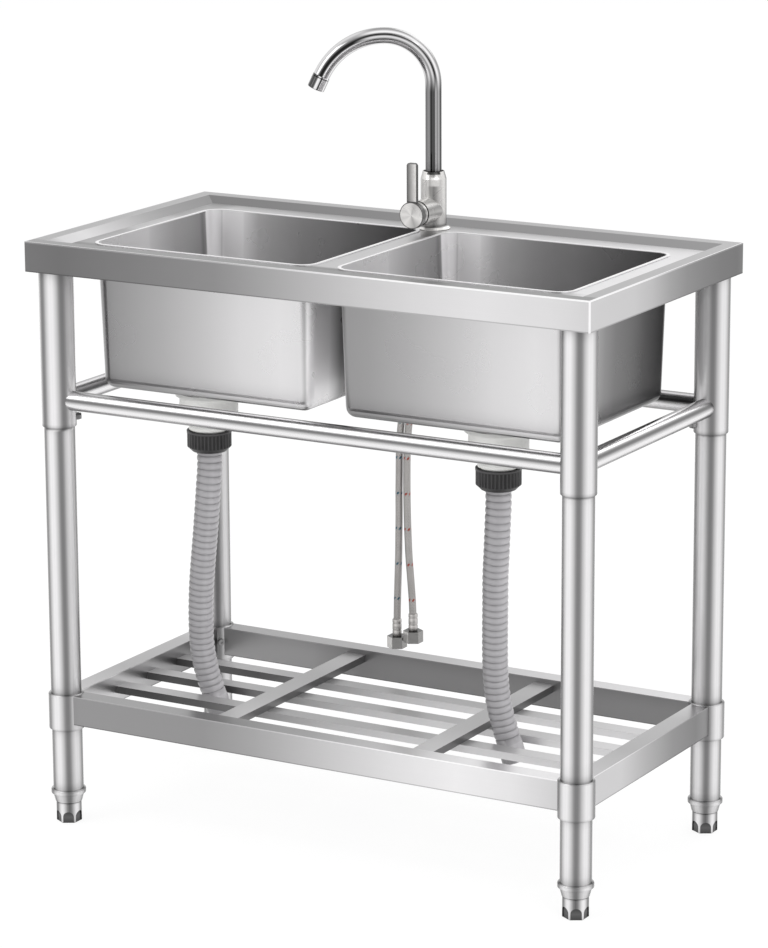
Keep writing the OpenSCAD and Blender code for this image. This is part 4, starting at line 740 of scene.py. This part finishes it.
def sweep(stations, sides, side):
    # rings of a round tube drawn on from one to the next: each station is a point, its direction,
    # a radius and a value to paint by
    mesh = bmesh.new()
    turns, runs, paints = (mesh.verts.layers.float.new(name) for name in ("turn", "run", "paint"))
    ring = bmesh.ops.create_circle(mesh, cap_ends=True, segments=sides, radius=1)["verts"]
    for vert in ring:
        vert[turns] = (math.atan2(vert.co.y, vert.co.x) / math.tau) % 1
    edges = list({edge for vert in ring for edge in vert.link_edges})
    now, run = Matrix.Identity(4), 0.0
    last = stations[0][0]
    for i, (point, ahead, radius, paint) in enumerate(stations):
        ahead = ahead.normalized()
        side = (side - ahead * side.dot(ahead)).normalized()
        turned = Matrix((side, ahead.cross(side), ahead)).transposed().to_4x4()
        placed = Matrix.Translation(point) @ turned @ Matrix.Scale(radius, 4)
        if i:
            made = bmesh.ops.extrude_edge_only(mesh, edges=edges)["geom"]
            ring = [part for part in made if isinstance(part, bmesh.types.BMVert)]
            inRing = set(ring)
            edges = [part for part in made
                     if isinstance(part, bmesh.types.BMEdge) and set(part.verts) <= inRing]
        bmesh.ops.transform(mesh, matrix=placed @ now.inverted(), verts=ring)
        run += (point - last).length
        for vert in ring:
            vert[runs], vert[paints] = run, paint
        now, last = placed, point
    bmesh.ops.edgeloop_fill(mesh, edges=edges)
    uv = mesh.loops.layers.uv.new("UVMap")
    for face in mesh.faces:
        values = [loop.vert[turns] for loop in face.loops]
        wraps = len(face.verts) == 4 and max(values) - min(values) > 0.5
        for loop, value in zip(face.loops, values):
            loop[uv].uv = (value + 1 if wraps and value < 0.5 else value, loop.vert[runs])
    return mesh


def directions(points):
    found = [points[1] - points[0]]
    found += [points[i + 1] - points[i - 1] for i in range(1, len(points) - 1)]
    return found + [points[-1] - points[-2]]


def millimetres(rows):
    return [Vector(row) / 1000 for row in rows]


# Drain hoses: ribbed tubes on the routes of the part's source, with their plain cuffs

drainHose = {
    "radius": 0.017,
    "groove": 0.0016,
    "sides": 36,
    "perRib": 8,           # rings for each rib
    "top": 0.5195,         # the flange inside the union nut
    "ribTop": 0.5085,
    "ribsAbove": 2,        # ribs on the straight length below the nut
    "wall": 0.003,
    "seat": 0.025,         # length of the free cuff that goes into the waste pipe
    "step": 0.0005,        # from that length to the neck above it
    "join": 0.0012,        # from the ribs to a cuff
    "shadeAt": 0.002,      # the darkest ring above the free end
    "rim": 0.0006,         # chamfer of the free end
    "boreRim": 0.0004,
    "boreDepth": 0.03,
}
hoseRoutes = {
    "left": {
        "ribs": 36,
        "length": 0.3973,
        "axis": (-218, -85),
        "points": [(0, 0, 490), (-2, 0, 470), (-7, 3, 435), (-14, 8, 395), (-22, 14, 355), (-30, 21, 315),
                   (-36, 28, 275), (-40, 35, 240), (-40, 40, 212), (-37, 45, 186), (-32, 49, 164)],
        "end": (-22, 52, 132),
    },
    "right": {
        "ribs": 35,
        "length": 0.3920,
        "axis": (218, -85),
        "points": [(0, 0, 490), (-1, 0, 470), (-4, 3, 435), (-9, 9, 395), (-13, 16, 355), (-17, 23, 315),
                   (-20, 29, 280), (-22, 35, 248), (-21, 40, 218), (-17, 45, 190), (-12, 48, 168)],
        "end": (-2, 51, 135),
    },
}
viewSide = Vector((0.5, -0.866, 0))    # the side that faces the front right


def makeDrainHose(side, route, sizes):
    place = Vector((*route["axis"], 0)) / 1000
    points = [place + point for point in millimetres(route["points"])]
    end = place + Vector(route["end"]) / 1000
    fine = curvePoints(points, route["ribs"] * sizes["perRib"] + 1)
    count = sizes["ribsAbove"] * sizes["perRib"]
    rise = Vector((0, 0, sizes["ribTop"] - points[0].z))
    fine = [points[0] + rise * (1 - i / count) for i in range(count)] + fine
    ribs = []
    for i, (point, ahead) in enumerate(zip(fine, directions(fine))):
        swell = math.sin(math.pi * ((i % sizes["perRib"]) / sizes["perRib"])) ** 0.6
        ribs.append((point, ahead, sizes["radius"] - sizes["groove"] * (1 - swell), swell))
    # plain cuffs at both ends, the lower one a pipe with a real bore
    top = Vector((points[0].x, points[0].y, sizes["top"]))
    down = Vector((0, 0, -1))
    cuff = (end - points[-1]).normalized()
    r, neck, bore = sizes["radius"], sizes["radius"] - sizes["step"], sizes["radius"] - sizes["wall"]
    join, seat, rim, boreRim = (sizes[key] for key in ("join", "seat", "rim", "boreRim"))
    head = [(top, down, r, 0.6), (fine[0] - down * join, down, r, 0.6)]
    tail = [(points[-1] + cuff * join, cuff, neck, 0.5),
            (end - cuff * (seat + sizes["step"]), cuff, neck, 0.55), (end - cuff * seat, cuff, r, 0.8),
            (end - cuff * sizes["shadeAt"], cuff, r, 0.35), (end - cuff * rim, cuff, r, 1.0),
            (end, cuff, r - rim, 1.0), (end, cuff, bore + boreRim, 1.0),
            (end - cuff * boreRim, cuff, bore, 0.2), (end - cuff * sizes["boreDepth"], cuff, bore, 0.0)]
    mesh = sweep(head + ribs + tail, sizes["sides"], viewSide)
    made = piece(f"{side}_drain_hose_ribbed", mesh, "hose", "root", 70)
    return made, [station[0] for station in head[:1] + ribs + tail[:6]]


for side, route in hoseRoutes.items():
    made, path = makeDrainHose(side, route, drainHose)
    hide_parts(f"{side}_drain_hose")
print("drain hoses made")

# Supply hoses: braided tubes with a smooth ferrule and a tail inside the union nut

supplyHose = {
    "radius": 0.005,
    "sides": 20,
    "stations": 140,
    "fitting": 0.0052,     # radius of the upper fitting
    "fittingTop": 0.8138,
    "ferrule": 0.0063,
    "ferruleLength": 0.024,
    "edge": 0.0005,        # chamfer of the ferrule
    "chamfer": 0.0004,     # chamfer of the fitting
    "inside": 0.004,       # length of the braid inside the ferrule
    # crimped rings: the place as a share of half the ferrule's length, and the depth
    "dents": [(0.6, 0), (0.55, 0.0004), (0.45, 0.0004), (0.4, 0), (-0.2, 0), (-0.25, 0.0004), (-0.35, 0.0004),
              (-0.4, 0)],
    "tail": 0.0055,
    "tailLength": 0.008,
}
supplyRoutes = {
    "hot": [(-5.7, 790), (-5.7, 760), (-5.7, 735), (-6, 712), (-9, 688), (-16, 660), (-25, 630), (-34, 600),
            (-42, 570), (-48, 540), (-52, 510), (-54, 480), (-54.5, 450), (-55, 420), (-55, 390),
            (-55.5, 360), (-56, 330), (-57, 300), (-58, 270), (-58.5, 250), (-59, 228)],
    "cold": [(5.7, 790), (5.7, 760), (5.7, 735), (5.4, 712), (3, 688), (-4, 660), (-13, 630), (-22, 600),
             (-30, 570), (-36, 540), (-40, 510), (-42, 480), (-42.5, 450), (-42.5, 420), (-42, 390),
             (-41, 360), (-39.5, 330), (-37, 300), (-35, 275), (-34, 255), (-33.5, 239)],
}


def makeSupplyHose(name, route, sizes):
    points = [Vector((x / 1000 + faucetPlace["x"], faucetPlace["y"], z / 1000)) for x, z in route]
    fine = curvePoints(points, sizes["stations"])
    down = Vector((0, 0, -1))
    start, end = points[0], points[-1]
    half, edge, thick = sizes["ferruleLength"] / 2, sizes["edge"], sizes["ferrule"]
    top, chamfer = sizes["fittingTop"], sizes["chamfer"]
    fitting = [(Vector((start.x, start.y, top)), down, sizes["fitting"] - chamfer, 1.0),
               (Vector((start.x, start.y, top - chamfer)), down, sizes["fitting"], 1.0),
               (start, down, sizes["fitting"], 1.0)]
    lowest = end.z + half - sizes["inside"]
    woven = [(point, ahead, sizes["radius"], 0.0) for point, ahead in zip(fine, directions(fine))
             if point.z > lowest]
    ferrule = [(end - down * half, down, sizes["radius"], 1.0), (end - down * half, down, thick - edge, 1.0),
               (end - down * (half - edge), down, thick, 1.0)]
    ferrule += [(end - down * (half * share), down, thick - dent, 1.0) for share, dent in sizes["dents"]]
    ferrule += [(end + down * (half - edge), down, thick, 1.0), (end + down * half, down, thick - edge, 1.0)]
    tail = [(end + down * length, down, sizes["tail"], 1.0) for length in (half, half + sizes["tailLength"])]
    mesh = sweep(woven, sizes["sides"], viewSide)
    made = piece(f"{name}_hose_braided", mesh, f"{name}Braid", "root", 50)
    ends = []
    for part, stations in (("fitting", fitting), ("ferrule", ferrule + tail)):
        mesh = sweep(stations, sizes["sides"], viewSide)
        ends.append(piece(f"{name}_hose_{part}", mesh, f"{name}Braid", "root", 50))
    for each in (made, *ends):
        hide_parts(f"{name}_hose")
    length = sum((b[0] - a[0]).length for a, b in zip(woven, woven[1:]))
    print(name, "supply hose", round(length, 4), "m")


for name, route in supplyRoutes.items():
    makeSupplyHose(name, route, supplyHose)

# Spout: a bent tube and its aerator, which swivel together

spoutSizes = {
    "radius": 0.011,
    "wall": 0.0012,
    "low": 0.8427,
    "riserTop": 0.986,
    "bend": 0.065,
    "fall": 0.092,
    "fallAngle": 65,
    "heading": Vector((-0.866, -0.5, 0)),
    "ring": 0.0013,        # ring inside the bush
    "ringHeight": 0.003,
    "chamfer": 0.0003,
    "bendSteps": 24,
    "boreDepth": 0.012,
    "aerator": 0.0117,
    "aeratorLength": 0.019,
    "sides": 48,
}


def makeSpout(sizes):
    up = Vector((0, 0, 1))
    foot = Vector((faucetPlace["x"], faucetPlace["y"], 0))
    r, out = sizes["radius"], sizes["heading"]
    heights = [sizes["ringHeight"] + 0.0001, 0.02, 0.05, 0.08, 0.11]
    low, wide, chamfer = sizes["low"], r + sizes["ring"], sizes["chamfer"]
    ring = [(foot + up * low, up, wide - chamfer, 1.0), (foot + up * (low + chamfer), up, wide, 1.0),
            (foot + up * (low + sizes["ringHeight"]), up, wide, 1.0)]
    stations = ring + [(foot + up * (low + height), up, r, 1.0) for height in heights]
    stations.append((foot + up * sizes["riserTop"], up, r, 1.0))

    def arc(centre, radius, start, stop, steps):
        for i in range(1, steps + 1):
            angle = math.radians(start + (stop - start) * i / steps)
            ahead = out * math.sin(angle) + up * math.cos(angle)
            yield centre + (up * math.sin(angle) - out * math.cos(angle)) * radius, ahead

    middle = foot + out * sizes["bend"]
    bend = list(arc(middle + up * sizes["riserTop"], sizes["bend"], 0, 90, sizes["bendSteps"]))
    centre = middle + up * (sizes["riserTop"] + sizes["bend"] - sizes["fall"])
    bend += arc(centre, sizes["fall"], 90, 90 + sizes["fallAngle"], sizes["bendSteps"])
    stations += [(point, ahead, r, 1.0) for point, ahead in bend]
    end, ahead = bend[-1]
    bore = r - sizes["wall"]
    stations += [(end, ahead, bore, 0.3), (end - ahead * sizes["boreDepth"], ahead, bore, 0.0)]
    mesh = sweep(stations, sizes["sides"], viewSide)
    tube = piece("spout_tube", mesh, "spout", "spout", 40)
    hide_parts("spout")
    # the aerator: a seam ring, a smooth skirt where the real one is knurled, and a recessed screen
    skirt, length = sizes["aerator"], sizes["aeratorLength"]
    inset = length - 0.0022
    outline = [(0.0001, r - 0.0008, 0.2), (0.0001, skirt - 0.0006, 0.2), (0.0006, skirt, 1.0),
               (0.0018, skirt, 1.0), (0.0021, skirt - 0.0005, 0.1), (0.0028, skirt - 0.0005, 0.1),
               (0.0031, skirt, 1.0), (length - 0.0008, skirt, 1.0), (length, skirt - 0.0008, 0.8),
               (length, skirt - 0.0024, 0.6), (inset, skirt - 0.0026, 0.1), (inset, skirt - 0.006, 0.4)]
    rings = [(end + ahead * run, ahead, radius, paint) for run, radius, paint in outline]
    mesh = sweep(rings, sizes["sides"], viewSide)
    nozzle = piece("spout_aerator", mesh, "aerator", "spout", 35)
    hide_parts("aerator")


makeSpout(spoutSizes)
print("spout made")

# Surroundings

surroundings = {
    "ambient": 0.78,       # what the white room gives to matt surfaces
    "floorSize": 40.0,
    "floorMatt": 0.82,     # the floor as other surfaces are lit by it
    "floorShade": 0.16,    # the part of the seen floor that takes shadows
    "floorGlow": 0.88,     # the part of the seen floor that doesn't
    "lamps": [
        {"place": (-1.6, -2.2, 2.6), "size": 1.8, "watts": 26},
        {"place": (2.4, -1.6, 2.2), "size": 1.6, "watts": 18},
        {"place": (0.3, 2.2, 2.4), "size": 1.8, "watts": 14},
    ],
}


def makeSurroundings(room):
    world = bpy.data.worlds.new("room")
    world.use_nodes = True
    tree = world.node_tree
    tree.nodes.clear()
    rays = tree.nodes.new("ShaderNodeLightPath")
    mixed = tree.nodes.new("ShaderNodeMixShader")
    lit, seen = (tree.nodes.new("ShaderNodeBackground") for _ in range(2))
    lit.inputs["Strength"].default_value = room["ambient"]
    seen.inputs["Strength"].default_value = 1.0
    either = [tree.nodes.new("ShaderNodeMath") for _ in range(2)]
    for node in either:
        node.operation = "MAXIMUM"
    tree.links.new(rays.outputs["Is Camera Ray"], either[0].inputs[0])
    tree.links.new(rays.outputs["Is Glossy Ray"], either[0].inputs[1])
    tree.links.new(either[0].outputs[0], either[1].inputs[0])
    tree.links.new(rays.outputs["Is Transmission Ray"], either[1].inputs[1])
    for node in (lit, seen):
        node.inputs["Color"].default_value = (1, 1, 1, 1)
    tree.links.new(either[1].outputs[0], mixed.inputs[0])
    tree.links.new(lit.outputs[0], mixed.inputs[1])
    tree.links.new(seen.outputs[0], mixed.inputs[2])
    tree.links.new(mixed.outputs[0], tree.nodes.new("ShaderNodeOutputWorld").inputs[0])
    bpy.context.scene.world = world

    s = Shader("floor_paint")
    rays = s.tree.nodes.new("ShaderNodeLightPath")
    seen = Link(s, rays.outputs["Is Camera Ray"]).maths("MAXIMUM", Link(s, rays.outputs["Is Glossy Ray"]))
    seen = seen.maths("MAXIMUM", Link(s, rays.outputs["Is Transmission Ray"]))
    matt, shade = (s.node("ShaderNodeBsdfDiffuse", {}, (*[room[key]] * 3, 1))
                   for key in ("floorMatt", "floorShade"))
    glow = s.node("ShaderNodeEmission", {}, (1, 1, 1, 1), room["floorGlow"])
    shown = s.node("ShaderNodeAddShader", {}, shade, glow)
    s.node("ShaderNodeOutputMaterial", {}, s.node("ShaderNodeMixShader", {}, seen, matt, shown))
    mesh = bmesh.new()
    bmesh.ops.create_grid(mesh, x_segments=8, y_segments=8, size=room["floorSize"])
    data = bpy.data.meshes.new("floor")
    mesh.to_mesh(data)
    mesh.free()
    floor = bpy.data.objects.new("floor", data)
    data.materials.append(s.material)
    bpy.context.scene.collection.objects.link(floor)

    for i, lamp in enumerate(room["lamps"]):
        light = bpy.data.lights.new(f"lamp_{i}", "AREA")
        light.energy, light.size = lamp["watts"], lamp["size"]
        holder = bpy.data.objects.new(f"lamp_{i}", light)
        place = Vector(lamp["place"])
        aim = Vector((0, 0, 0.5)) - place
        holder.matrix_world = Matrix.Translation(place) @ aim.to_track_quat("-Z", "Y").to_matrix().to_4x4()
        bpy.context.scene.collection.objects.link(holder)


makeSurroundings(surroundings)
print("surroundings made")
